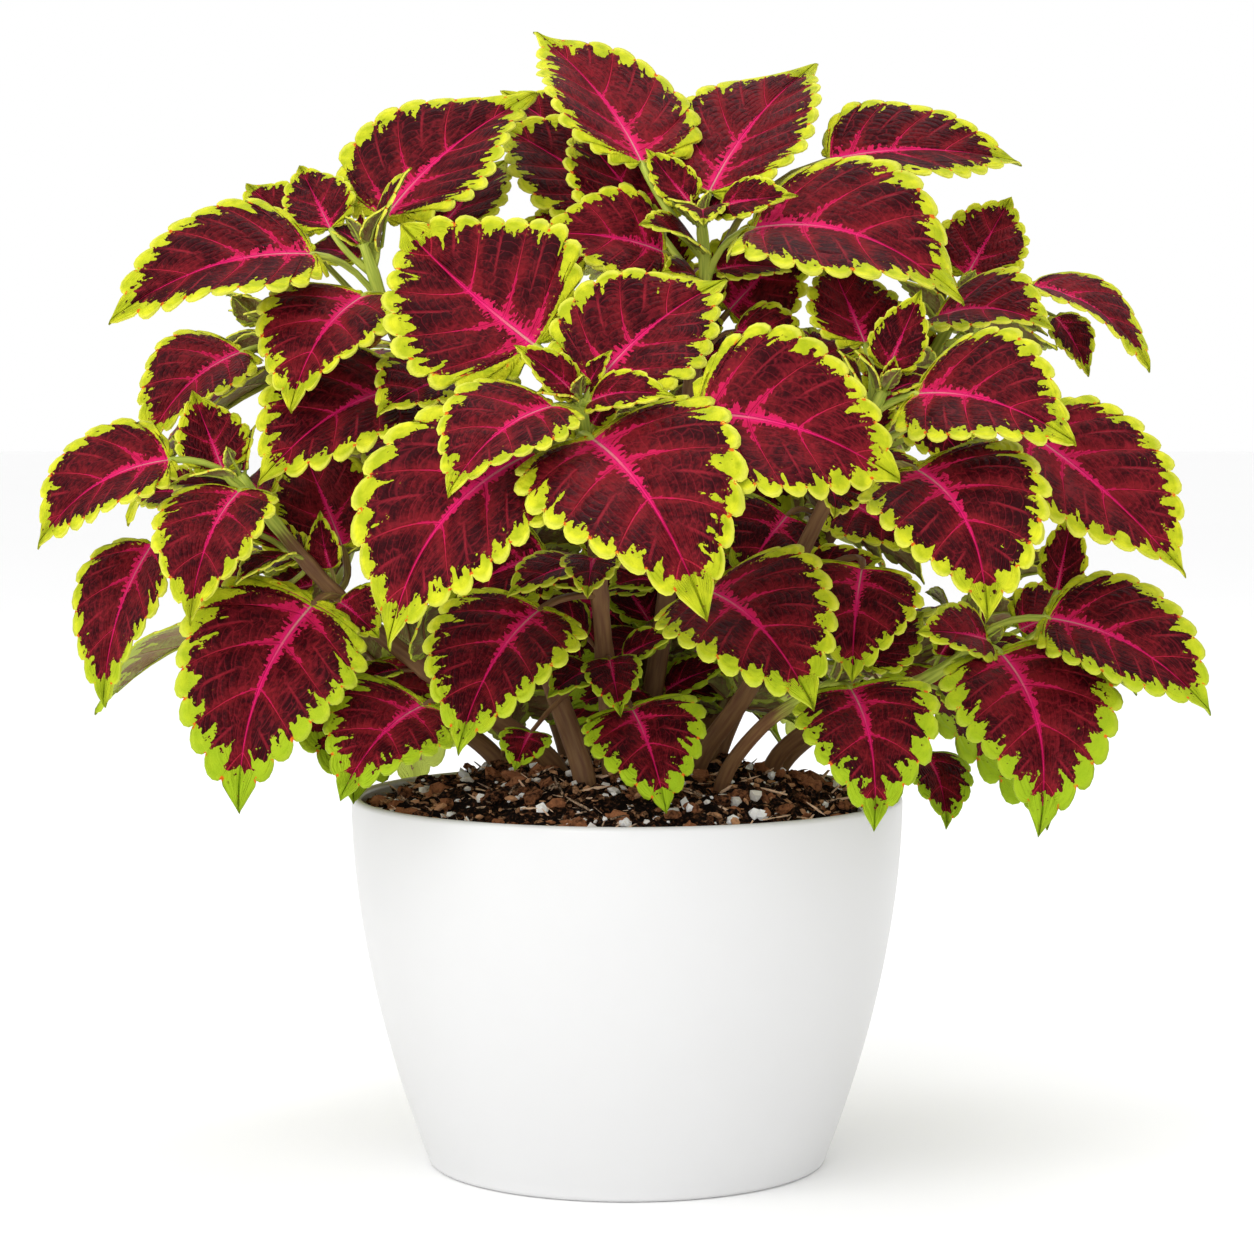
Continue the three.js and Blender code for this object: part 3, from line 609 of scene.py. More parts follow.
class Blade:
    """A blade's fine surface. Its rows run from margin to margin over the midrib, as the veins do."""

    def __init__(self, leaf, number):
        self.leaf = leaf
        self.draws = np.random.default_rng(int(first_seed + seed_step * number + leaf.width))
        self.count = int(np.interp(leaf.width, scallop_widths, scallop_counts))
        steps = cross_steps[plainness(leaf)]
        self.columns = np.array([-s for s in reversed(steps)] + [0, *steps])
        self.share = np.abs(self.columns)[None, :]
        self.lay_rows()
        self.lay_grid()
        self.find_gaps()

    def lay_rows(self):
        """Where each row meets the blade's plain outline, and which scallop it belongs to."""
        leaf, count = self.leaf, self.count
        fine = np.linspace(0, 1, outline_steps) ** 2
        taper = 1 - tip_taper * np.clip((fine - taper_start) / taper_length, 0, 1) ** taper_power
        self.fine_half = leaf.width / 2 * half_width_share(fine) * taper
        self.fine_x = fine * leaf.length
        steps = np.hypot(np.diff(self.fine_x), np.diff(self.fine_half))
        run = np.concatenate([[0], np.cumsum(steps)])
        neck_run = np.interp(stalk_width * blade_neck, self.fine_half[:neck_steps], run[:neck_steps])
        notch_end = np.interp(tip_start, fine, run)
        notches = np.linspace(0, 1, count + 1) ** scallop_growth
        notch_run = neck_run + (notch_end - neck_run) * notches
        lobes, tips = scallop_steps[plainness(leaf)], tip_steps[plainness(leaf)]
        self.order = np.array([i + f for i in range(count) for f in lobes] + [count + f for f in tips])
        self.index = np.minimum(self.order.astype(int), count)
        fraction = self.order - self.index
        spans = np.append(np.diff(notch_run), run[-1] - notch_run[-1])
        rows_run = notch_run[self.index] + fraction * spans[self.index]
        self.x = np.interp(rows_run, run, self.fine_x)
        self.y = np.interp(rows_run, run, self.fine_half)
        slopes = [np.interp(rows_run, run, np.gradient(v, run)) for v in (self.fine_x, self.fine_half)]
        self.ahead = unit(np.stack(slopes, 1))
        self.outward = np.stack([-self.ahead[:, 1], self.ahead[:, 0]], 1)
        lobe = np.sin(math.pi * fraction**scallop_skew) ** scallop_roundness
        rounding = np.minimum(1, (fraction / tip_shoulder) ** tip_roundness)
        tip_swell = tip_swelling * rounding * (1 - fraction)
        self.lobe = np.where(self.index < count, lobe, tip_swell)
        self.lean = scallop_lean * spans[self.index] * self.lobe * (self.index < count)

    def lay_grid(self):
        """How far along and out each vertex lies, with the rows swept forwards as the veins are."""
        leaf, count, index = self.leaf, self.count, self.index
        start = np.clip(self.x / leaf.length, 0, 1) ** vein_sweep
        self.b = np.zeros((len(self.order), len(self.columns)))
        self.out = np.zeros_like(self.b)
        for hand in (-1, 1):
            sizes = self.draws.uniform(*scallop_sizes, count + 1)
            sizes[0] *= first_scallop
            sizes[count] = 1
            sizes = sizes * (1 - scallop_fading * np.linspace(0, 1, count + 1) ** 2)
            depth = scallop_depth * leaf.width / 2 * sizes[index] * self.lobe
            edge_x = self.x + self.outward[:, 0] * depth + self.ahead[:, 0] * self.lean
            edge_y = self.y + self.outward[:, 1] * depth + self.ahead[:, 1] * self.lean
            chosen = self.columns * hand > 0
            share = np.abs(self.columns[chosen])
            edge_b = edge_x / leaf.length
            self.b[:, chosen] = start[:, None] + (edge_b - start)[:, None] * share**vein_bow
            self.out[:, chosen] = hand * edge_y[:, None] * share
        self.b[:, self.columns == 0] = start[:, None]

    def find_gaps(self):
        """How far each vertex lies from the nearest main vein, and in from the plain outline."""
        leaf, b, out = self.leaf, self.b, self.out
        flat = np.stack([b * leaf.length, out], -1)
        vein_rows = [np.argmin(np.abs(self.order - k)) for k in range(1, self.count + 1, 2)]
        gaps = [np.linalg.norm(flat - flat[row][None], axis=-1) for row in vein_rows]
        self.vein_gap = np.min(gaps, axis=0)
        sides = [np.append(self.fine_x, self.fine_x), np.append(self.fine_half, -self.fine_half)]
        outline = np.stack(sides, 1)[::margin_skip]
        gaps = np.linalg.norm(flat.reshape(-1, 1, 2) - outline[None], axis=-1)
        inset = gaps.min(1).reshape(b.shape)
        outline_half = np.interp(b * leaf.length, self.fine_x, self.fine_half)
        self.inset = np.where((np.abs(out) > outline_half) | (b < 0), -inset, inset)

    def vertices(self):
        """Both faces are folded, ruffled and quilted, and the veins stand out from the lower one."""
        leaf, b, out, share = self.leaf, self.b, self.out, self.share
        half = leaf.half(b)
        across = np.clip(np.abs(out) / half, 0, widest_across)
        hands = np.sign(self.columns)[None, :] * np.ones_like(b)
        flat = math.sqrt(fold_softness)
        crease = (np.sqrt(across**2 + fold_softness) - flat) / (math.sqrt(1 + fold_softness) - flat)
        lift = half * (blade_fold * crease - blade_droop * across**2)
        lift = lift + leaf.wave(b, hands) * across**2
        window = (1 - hump(share, quilt_from_rib)) * (1 - share**4)
        puffed = 1 - hump(self.vein_gap, quilt_width * leaf.width)
        lift = lift + quilt_height * leaf.width * puffed * window
        lift = lift - cupping * leaf.width * (self.lobe[:, None] - 0.5) * share**6
        ridge = ridge_height * hump(self.vein_gap, ridge_width) * (1 - share)
        ending = np.clip(groove_ending[0] - groove_ending[1] * b, 0, 1)
        groove = groove_depth * hump(out, groove_width) * ending
        upper = leaf.on_blade(b, out, lift + blade_thickness / 2 - groove)
        lower = leaf.on_blade(b, out, lift - blade_thickness / 2 - ridge)
        tips = leaf.on_blade(np.ones(2), np.zeros(2), np.array([0.5, -0.5]) * blade_thickness)
        return np.concatenate([upper.reshape(-1, 3), lower.reshape(-1, 3), tips])

    def faces(self):
        """Quads between the rows, a fan of triangles at the tip, and the rim that joins both faces."""
        rows, width = self.b.shape
        size = rows * width
        ids = np.arange(size).reshape(rows, width)
        quads = np.stack([ids[:-1, :-1], ids[:-1, 1:], ids[1:, 1:], ids[1:, :-1]], -1).reshape(-1, 4)
        last = ids[-1]
        tip = 2 * size
        upper_fan = [(last[k], last[k + 1], tip) for k in range(width - 1)]
        lower_fan = [(last[k + 1] + size, last[k] + size, tip + 1) for k in range(width - 1)]
        rim = [(last[0], tip, tip + 1, last[0] + size), (last[-1] + size, tip + 1, tip, last[-1])]
        for line, flip in ((ids[:, 0], False), (ids[:, -1], True), (ids[0], True)):
            strip = np.stack([line[:-1], line[1:], line[1:] + size, line[:-1] + size], -1)
            rim += (strip[:, ::-1] if flip else strip).tolist()
        return (
            ("upper", quads.tolist() + upper_fan),
            ("lower", (quads[:, ::-1] + size).tolist() + lower_fan),
            ("rim", rim),
        )

    def painted(self):
        """What the markings are worked out from, for the vertices of both faces and the two tips."""
        every = np.ones_like(self.b)
        width = self.leaf.width
        margin = np.stack([self.inset / width, np.abs(self.out) / width, self.b], -1)
        cells = np.stack([self.order[:, None] * every, self.columns * every, self.vein_gap / width], -1)
        margin = margin.reshape(-1, 3)
        cells = cells.reshape(-1, 3)
        tip_margin = np.array([[tip_inset, 0, 1]] * 2)
        tip_cells = np.array([[self.count + 1, 0, tip_vein_gap]] * 2)
        return np.concatenate([margin, margin, tip_margin]), np.concatenate([cells, cells, tip_cells])


def closed_tube(rings):
    """Vertices and faces of a tube through rings of points, closed at both of its ends."""
    count, around = rings.shape[:2]
    ids = np.arange(count * around).reshape(count, around)
    turned = np.roll(ids, -1, axis=1)
    walls = np.stack([ids[:-1], turned[:-1], turned[1:], ids[1:]], -1).reshape(-1, 4)
    return rings.reshape(-1, 3), walls.tolist() + [ids[0, ::-1].tolist(), ids[-1].tolist()]


tube_sides = (9, 8, 6)
stalk_stations = (7, 7, 4)
midrib_stations = (9, 7, 4)
stalk_thickest = 1.3
stalk_thinnest = 0.5
stalk_thickening = 0.02
stalk_depth_share = 0.8
stalk_foot = 1.12
stalk_taper = 0.22
channel_depth = 0.25
channel_width = 0.5
midrib_start = 0.03
midrib_reach = 0.86
midrib_foot = 0.9
midrib_taper = 0.75
midrib_drop = 0.7
stalk_greening = 60
axil_green = 0.2
axil_reach = 6
least_green = 0.1


def stalk_tube(leaf):
    """The stalk, which runs on under the blade as its midrib, and the painted values along it."""
    level = plainness(leaf)
    sides, stations, ribs = tube_sides[level], stalk_stations[level], midrib_stations[level]
    turns = np.linspace(0, 2 * math.pi, sides, endpoint=False)
    thick = min(stalk_thickest, stalk_thinnest + stalk_thickening * leaf.width)
    shares = np.linspace(0, 1, stations)[:, None] * np.ones(sides)
    radius = thick * (stalk_foot - stalk_taper * shares)
    channel = channel_depth * thick * hump(turns - math.pi / 2, channel_width)
    rise = radius * stalk_depth_share * np.sin(turns)
    stalk = leaf.on_stalk(shares, radius * np.cos(turns), rise - channel)
    shares = np.linspace(midrib_start, midrib_reach, ribs)[:, None] * np.ones(sides)
    radius = thick * (midrib_foot - midrib_taper * shares / midrib_reach)
    rise = radius * stalk_depth_share * np.sin(turns) - radius * midrib_drop - blade_thickness / 2
    midrib = leaf.on_blade(shares, radius * np.cos(turns), rise)
    vertices, faces = closed_tube(np.concatenate([stalk, midrib]))
    along = np.concatenate([
        np.linspace(0, leaf.stalk_length, stations),
        leaf.stalk_length + np.linspace(0, leaf.length, ribs),
    ])
    green = 1.0 - leaf.below / stalk_greening + axil_green * np.exp(-along / axil_reach)
    green = np.clip(green, least_green, 1)
    return vertices, faces, np.repeat(green, sides), np.repeat(along, sides)


stem_ring_gap = 2.6
stem_sides = 20
stem_squareness = 4.5
node_swelling = 0.16
node_reach = 2.4
node_green = 0.4
node_green_reach = 5
top_green = 1.05
stem_greening = 26


def stem_tube(stem, nodes):
    """The square stem, a little swollen where its leaf pairs leave it."""
    below = np.linspace(stem.length, 0, int(stem.length / stem_ring_gap))
    turns = np.linspace(0, 2 * math.pi, stem_sides, endpoint=False)
    square = np.abs(np.cos(turns)) ** stem_squareness + np.abs(np.sin(turns)) ** stem_squareness
    square = square ** (-1 / stem_squareness)
    rings = []
    for depth in below:
        along = stem.along(depth)
        left = unit(np.cross((0, 1, 0), along))
        front = np.cross(along, left)
        grown = min(1, depth / stem_taper_length) ** stem_taper_power
        half = (stem_top_width + (stem_root_width - stem_top_width) * grown) / 2
        swell = max((hump(depth - node, node_reach) for node in nodes), default=0)
        reach = half * (1 + node_swelling * swell) * square
        sideways = (reach * np.cos(turns))[:, None] * left
        rings.append(stem.at(depth) + sideways + (reach * np.sin(turns))[:, None] * front)
    vertices, faces = closed_tube(np.array(rings))
    near_node = [max((math.exp(-abs(d - n) / node_green_reach) for n in nodes), default=0) for d in below]
    green = np.clip(top_green - below / stem_greening + node_green * np.array(near_node), 0.0, 1)
    return vertices, faces, np.repeat(green, stem_sides), np.repeat(stem.length - below, stem_sides)


# The markings follow each blade's own measures: how far a point lies in from the margin or out from the
# midrib or a vein, in shares of the width, and how far along the blade it lies. A range holds two such
# places and, where they aren't 0 and 1, the results at both.
spot_grain = 0.0011
island_grain = 0.0017
finger_stretch = (3.1, 9, 1.5)
finger_growth = (0.05, 0.25, 0.0, 0.40)
streak_turn = 2
luck_stride = 60
broad_margin = 0.03
notch_pinch = (0.0, 0.3, 0.25, 1.0)
spot_bite = 0.07
base_narrowing = (0.0, 0.3, 0.5, 1.0)
tip_widening = (0.76, 0.93, 0.0, 0.11)
least_margin = 0.008
margin_softness = (0.003, 0.003)
fleck_zone = (-0.01, 0.06)
fleck_sizes = (0.64, 0.67)
island_zone = (0.01, 0.04)

spike_stretch = (60, 22, 2)
flare_fading = (0.02, 0.6, 1.0, 0.0)
flare_spikes = (0.35, 0.68, 0.3, 1.9)
flare_tail = (0.5, 1.0, 0.009, 0.003)
flare_softness = (0.004, 0.002)
branch_width = (0.0, 0.7, 0.036, 0.0)
branch_fading = (0.02, 0.75, 1.0, 0.0)
branch_spikes = (0.35, 0.68, 0.4, 1.7)
branch_softness = (0.003, 0.002)

side_vein_width = (0.002, 0.0105, 1.0, 0.0)
side_vein_fading = (0.6, 1.0, 1.0, 0.1)
fork_width = (0.455, 0.493)
fork_start = (0.3, 0.55, 0.0, 0.5)
fork_fading = (0.7, 0.95, 1.0, 0.0)
main_vein_width = (0.0, 1.0, 0.013, 0.005)
main_vein_core = 0.4
cell_counts = (1.1, 11, 40)
cell_randomness = 0.55
net_width = (0.0, 0.07, 1.0, 0.0)

mottle_grain = 0.0011
mottle_noise = (3, 0.65)
mottle_patch = 0.007
mottle_weights = (0.6, 0.45)
mottle_at_vein = (0.0, 0.08, 0.16, 0.0)
mottle_outwards = (0.1, 0.9, 0.06, -0.06)
dot_notch = (0.05, 0.1, 1.0, 0.0)
dot_outer_edge = (-0.012, -0.006)
dot_inner_edge = (0.012, 0.022, 1.0, 0.0)
dot_sizes = (0.48, 0.58)
dot_zone = (0.7, 0.85)
# The band at the blade's outer edge that carries a painted highlight.
rim_highlight_zone = (0.93, 1.0)
cell_doming = (0.0, 0.45)
skin_grain = 0.0006
doming_height = 0.6
skin_height = 0.35
vein_depth = 0.8


class Markings(Wiring):
    """The pattern of a coleus blade as masks, from the values that each blade carries."""

    def __init__(self, tree):
        super().__init__(tree)
        self.inset, self.rib, self.b = self.painted("margin")
        self.order, self.share, self.vein = self.painted("cells")
        self.breadth, _, self.luck = self.painted("cast")
        self.away = abs(self.share)
        self.middle = 0.5 - self.order.from_half()
        self.here = self.place()
        self.spots = self.speckle(self.here, spot_grain)

    def combed(self, along, over, pace, length, detail):
        """Noise in streaks, of the given pace along one measure and length over the other."""
        seed = self.share * streak_turn + self.luck * luck_stride
        return self.speckle(self.vector(along * pace, over * length, seed), 1, detail)

    def lime(self, margin_width):
        """The lime margin, with a ragged inner edge, loose flecks beyond it and islands in it."""
        fingers = self.combed(self.order, self.inset, *finger_stretch)
        reach = (fingers - 0.5) * self.b.ramp(*finger_growth) + margin_width + self.breadth * broad_margin
        limit = reach * self.middle.ramp(*notch_pinch) + (0.5 - self.spots) * spot_bite
        limit = limit * self.b.ramp(*base_narrowing) + self.b.ramp(*tip_widening)
        limit = limit.larger(least_margin)
        flecks = self.spots.ramp(*fleck_sizes) * self.inset.within(limit, *fleck_zone)
        islands = self.speckle(self.here, island_grain).ramp(*fleck_sizes) * self.inset.ramp(*island_zone)
        margin = self.inset.within(limit, *margin_softness) * (1.0 - islands)
        return margin.larger(flecks)

    def flare(self, flare_width):
        """The magenta flare along the midrib and a little way up the side veins, with a spiky edge."""
        spikes = self.combed(self.b, self.rib, *spike_stretch)
        edge = self.b.ramp(*flare_fading) * flare_width * spikes.ramp(*flare_spikes)
        edge = edge + self.b.ramp(*flare_tail)
        branch = self.away.ramp(*branch_width) * self.b.ramp(*branch_fading)
        branch = branch * spikes.ramp(*branch_spikes)
        return self.rib.within(edge, *flare_softness).larger(self.vein.within(branch, *branch_softness))

    def veins(self):
        """The midrib, the side veins, and finer ones that fork off between them further out."""
        side = self.vein.ramp(*side_vein_width) * self.away.ramp(*side_vein_fading)
        fork = (self.order * 0.5).from_half().ramp(*fork_width)
        fork = fork * self.away.ramp(*fork_start) * self.away.ramp(*fork_fading)
        edge = self.b.ramp(*main_vein_width)
        main = self.rib.ramp(edge * main_vein_core, edge, 1.0, 0.0)
        return side.larger(fork).larger(main)

    def cell_gap(self):
        """How far a point lies from the edges of the small fields between the finest veins."""
        lengthwise, outwards, by_luck = cell_counts
        place = self.vector(self.order * lengthwise, self.share * outwards, self.luck * by_luck)
        sockets = {"Vector": place, "Scale": 1, "Randomness": cell_randomness}
        cells = self.node("ShaderNodeTexVoronoi", sockets, feature="DISTANCE_TO_EDGE")
        return Value(self, cells.outputs["Distance"])

    def mottle(self):
        fine, broad = mottle_weights
        mottle = self.speckle(self.here, mottle_grain, *mottle_noise) * fine
        mottle = mottle + self.speckle(self.here, mottle_patch) * broad
        return mottle + self.vein.ramp(*mottle_at_vein) + self.away.ramp(*mottle_outwards)

    def dots(self):
        """Orange flecks in the notches between the scallops."""
        across = self.inset.ramp(*dot_outer_edge) * self.inset.ramp(*dot_inner_edge)
        dot = self.middle.ramp(*dot_notch) * across * self.spots.ramp(*dot_sizes)
        return dot * self.away.ramp(*dot_zone)

    def relief(self, gap, veins):
        height = gap.ramp(*cell_doming) * doming_height
        return height + self.speckle(self.here, skin_grain) * skin_height - veins * vein_depth


def leaf_markings():
    """The masks as a node group, for a given width of the lime margin and of the magenta flare."""
    group = bpy.data.node_groups.new("coleus leaf markings", "ShaderNodeTree")
    for name in ("Margin Width", "Flare Width"):
        group.interface.new_socket(name, in_out="INPUT", socket_type="NodeSocketFloat")
    for name in ("Lime", "Flare", "Vein", "Net", "Dot", "Mottle", "Rim Highlight", "Height"):
        group.interface.new_socket(name, in_out="OUTPUT", socket_type="NodeSocketFloat")
    w = Markings(group)
    given = w.node("NodeGroupInput").outputs
    result = w.node("NodeGroupOutput").inputs
    veins = w.veins()
    gap = w.cell_gap()
    masks = {
        "Lime": w.lime(given["Margin Width"]),
        "Flare": w.flare(given["Flare Width"]),
        "Vein": veins,
        "Net": gap.ramp(*net_width),
        "Dot": w.dots(),
        "Mottle": w.mottle(),
        # A painted highlight along the blade's outer edge.
        "Rim Highlight": w.away.ramp(*rim_highlight_zone),
        "Height": w.relief(gap, veins),
    }
    for name, mask in masks.items():
        w.feed(result[name], mask)
    return group


markings = leaf_markings()


def marked(wiring, margin_width, flare_width):
    sockets = {"Margin Width": margin_width, "Flare Width": flare_width}
    made = wiring.node("ShaderNodeGroup", sockets, node_tree=markings)
    return {mask.name: Value(wiring, mask) for mask in made.outputs}


burgundy_dark = (0.026, 0.0010, 0.0028, 1)
burgundy_bright = (0.185, 0.0085, 0.0140, 1)
crimson_vein = (0.40, 0.018, 0.036, 1)
magenta = (0.80, 0.014, 0.180, 1)
magenta_deep = (0.53, 0.011, 0.075, 1)
midrib_pale = (0.55, 0.33, 0.25, 1)
lime_bright = (0.66, 0.66, 0.022, 1)
lime_green = (0.35, 0.41, 0.009, 1)
# The colour of a painted highlight along the outer edge of the lime margin.
lime_rim_highlight = (0.80, 0.80, 0.10, 1)
shaded_green = (0.13, 0.18, 0.004, 1)
low_green = (0.27, 0.42, 0.012, 1)
sinus_orange = (0.66, 0.13, 0.01, 1)
upper_margin_width = 0.048
upper_flare_width = 0.050
net_strength = 0.22
vein_strength = 0.85
luck_contrast = 0.08
shade_contrast = 0.12
bright_from_dark = (0.40, 0.82)
blush_widening = 0.05
blush_fading = (0.0, 0.055)
pale_width = (0.003, 0.011, 1.0, 0.0)
pale_fading = (0.02, 0.4, 0.75, 0.0)
lime_grain = 0.004
rim_highlight_strength = 0.75
lime_net_strength = 0.25
shade_strength = 0.85
inner_green_zone = (-0.02, 0.05, 0.0, 0.55)
low_zone = (0.10, 0.17, 0.9, 0.0)
upper_roughness = (0.4, 0.9, 0.45, 0.60)
upper_relief = 0.0004
upper_gleam = 0.055


def leaf_upper():
    material, w, shader = new_material("coleus leaf, upper side")
    mask = marked(w, upper_margin_width, upper_flare_width)
    inset, rib, b = w.painted("margin")
    _, shade, luck = w.painted("cast")
    place = w.place()
    mottle = mask["Mottle"] + (luck - 0.5) * luck_contrast - shade * shade_contrast
    centre = w.mixed(mottle.ramp(*bright_from_dark), burgundy_dark, burgundy_bright)
    centre = w.mixed(mask["Net"] * net_strength, centre, crimson_vein)
    centre = w.mixed(mask["Vein"] * vein_strength, centre, crimson_vein)
    blush = w.mixed((rib + b * blush_widening).ramp(*blush_fading), magenta, magenta_deep)
    blush = w.mixed(rib.ramp(*pale_width) * b.ramp(*pale_fading), blush, midrib_pale)
    centre = w.mixed(mask["Flare"], centre, blush)
    lime = w.mixed(w.speckle(place, lime_grain, fine_detail).spread(), lime_green, lime_bright)
    lime = w.mixed(inset.ramp(*inner_green_zone), lime, lime_green)
    # A painted highlight: the outermost edge of the lime margin is brighter and yellower.
    lime = w.mixed(mask["Rim Highlight"] * rim_highlight_strength, lime, lime_rim_highlight)
    lime = w.mixed(mask["Net"] * lime_net_strength, lime, lime_green)
    lime = w.mixed(shade * shade_strength, lime, shaded_green)
    lime = w.mixed(w.parts(place)[2].ramp(*low_zone), lime, low_green)
    colour = w.mixed(mask["Lime"], centre, lime)
    colour = w.mixed(mask["Dot"], colour, sinus_orange)
    roughness = mask["Mottle"].ramp(*upper_roughness)
    w.cover(shader, colour, roughness, mask["Height"], upper_relief)
    shader.inputs["Specular IOR Level"].default_value = upper_gleam
    return material


underside_plum = (0.25, 0.15, 0.070, 1)
underside_olive = (0.37, 0.41, 0.11, 1)
underside_lime = (0.47, 0.55, 0.085, 1)
underside_vein = (0.36, 0.16, 0.12, 1)
underside_margin_width = 0.075
underside_flare_width = 0.05
olive_from_plum = (0.4, 0.85)
underside_net_strength = 0.35
underside_roughness = (0.4, 0.9, 0.55, 0.7)
underside_relief = 0.0003
underside_gleam = 0.12


def leaf_underside():
    material, w, shader = new_material("coleus leaf, underside")
    mask = marked(w, underside_margin_width, underside_flare_width)
    centre = w.mixed(mask["Mottle"].ramp(*olive_from_plum), underside_plum, underside_olive)
    centre = w.mixed(mask["Net"] * underside_net_strength, centre, underside_vein)
    centre = w.mixed(mask["Vein"], centre, underside_vein)
    colour = w.mixed(mask["Lime"], centre, underside_lime)
    roughness = mask["Mottle"].ramp(*underside_roughness)
    w.cover(shader, colour, roughness, mask["Height"] * -1.0, underside_relief)
    shader.inputs["Specular IOR Level"].default_value = underside_gleam
    return material


stem_mauve = (0.130, 0.056, 0.027, 1)
stem_mauve_light = (0.225, 0.120, 0.048, 1)
stem_green = (0.50, 0.56, 0.080, 1)
stem_green_deep = (0.29, 0.37, 0.045, 1)
streak_stretch = 0.12
streak_width = 1 / 0.9
stem_grain = 0.0005
mauve_spread = (0.2, 0.8)
streak_on_green = 0.5
green_from_mauve = (0.25, 0.75)
streak_height = 0.8
grain_height = 0.3
stem_relief = 0.00012
stem_roughness = (0.42, 0.6)
stem_gleam = 0.15


def stem_skin():
    material, w, shader = new_material("coleus stem")
    green, along, around = w.painted("growth")
    drawn_out = w.vector(along * streak_stretch, around)
    streak = w.speckle(drawn_out, streak_width)
    fine = w.speckle(w.place(), stem_grain, fine_detail)
    mauve = w.mixed(streak.ramp(*mauve_spread), stem_mauve, stem_mauve_light)
    leafy = w.mixed(streak.spread(), stem_green_deep, stem_green)
    greenness = (green + (streak - 0.5) * streak_on_green).ramp(*green_from_mauve)
    colour = w.mixed(greenness, mauve, leafy)
    height = streak * streak_height + fine * grain_height
    w.cover(shader, colour, fine.spread(*stem_roughness), height, stem_relief)
    shader.inputs["Specular IOR Level"].default_value = stem_gleam
    return material


upper_side = leaf_upper()
underside = leaf_underside()
stem_material = stem_skin()

plant_middle = np.array([0, 0, 150])
plant_reach = 150
plant_proportions = (1, 1, 0.9)
shade_reach = 0.52
shade_range = 0.3
shade_on_young = 0.5
grown_width = 24
youth_range = 14
low_below = 150
low_range = 30
low_broadness = 1.6
leaves_grown = 0


def cast_of(leaf, number):
    """How much broader a leaf's lime margin is, how shaded the leaf is, and its own chance tone."""
    youth = np.clip((grown_width - leaf.width) / youth_range, 0, 1)
    middle = leaf.on_blade(0.5, 0, 0)
    reach = np.linalg.norm((middle - plant_middle) * plant_proportions) / plant_reach
    shade = np.clip((shade_reach - reach) / shade_range, 0, 1) * (1 - youth * shade_on_young)
    lowness = low_broadness * np.clip((low_below - middle[2]) / low_range, 0, 1)
    return [max(youth, lowness), shade, np.random.default_rng(number).uniform(0, 1)]


def painted_mesh(name, vertices, faces, values):
    """A mesh from millimetres, with three values at each vertex for every name."""
    mesh = bpy.data.meshes.new(name)
    mesh.from_pydata(np.concatenate(vertices) * MM, [], faces)
    for value_name, triples in values.items():
        attribute = mesh.attributes.new(value_name, "FLOAT_VECTOR", "POINT")
        attribute.data.foreach_set("vector", np.concatenate(triples).astype(np.float32).ravel())
    return mesh


def foliage_mesh(name, leaves):
    """The blades of the given leaves in one mesh, with what their markings are worked out from."""
    global leaves_grown
    vertices, faces, smooth, lower, margins, cells, casts = [], [], [], [], [], [], []
    start = 0
    for leaf in leaves:
        leaves_grown += 1
        blade = Blade(leaf, leaves_grown)
        for kind, group in blade.faces():
            faces += [tuple(start + corner for corner in f) for f in group]
            smooth += [kind != "rim"] * len(group)
            lower += [kind == "lower"] * len(group)
        points = blade.vertices()
        margin, cell = blade.painted()
        start += len(points)
        vertices.append(points)
        margins.append(margin)
        cells.append(cell)
        casts.append(np.tile(cast_of(leaf, leaves_grown), (len(points), 1)))
    mesh = painted_mesh(name, vertices, faces, {"margin": margins, "cells": cells, "cast": casts})
    mesh.polygons.foreach_set("use_smooth", smooth)
    mesh.polygons.foreach_set("material_index", np.array(lower, np.int32))
    return mesh


tube_offset = 40


def tubes_mesh(name, tubes):
    """Stems and stalks in one mesh, with how green each part is and how far along it lies."""
    vertices, faces, growth = [], [], []
    start = 0
    for number, (points, walls, green, along) in enumerate(tubes):
        faces += [tuple(start + corner for corner in f) for f in walls]
        around = np.arange(len(points)) % len(walls[-1])
        around = np.abs(around - around.max() / 2)
        growth.append(np.stack([green, along + tube_offset * number, around], -1))
        vertices.append(points)
        start += len(points)
    mesh = painted_mesh(name, vertices, faces, {"growth": growth})
    mesh.shade_smooth()
    return mesh


def leafy_pieces(foliage_name, leaves, tubes_name, tubes):
    """The blades of the leaves as one piece, and what carries them as another."""
    foliage = new_piece(foliage_name, foliage_mesh(foliage_name, leaves), [upper_side, underside])
    return foliage, new_piece(tubes_name, tubes_mesh(tubes_name, tubes), [stem_material])


shoots_grown = []


def grow(node_name, stem, face, leaves, spare=False):
    """Builds a shoot from the places of its stem and a row for each leaf.

    A row says how far below the stem's top the leaf grows, its blade's base, tip, width, arch and bow,
    and where it faces if that differs from the others. With spare, leaves that the solid shoot lacks
    are left out.
    """
    stem = Stem(stem)
    leaves = as_grown(node_name, stem, face, leaves, spare)
    shoots_grown.append((node_name, stem, leaves))
    tubes = [stem_tube(stem, sorted({leaf.below for leaf in leaves}))]
    tubes += [stalk_tube(leaf) for leaf in leaves]
    for piece in leafy_pieces(node_name + "_leaves", leaves, node_name + "_stems", tubes):
        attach(piece, "root")
        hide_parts(node_name)


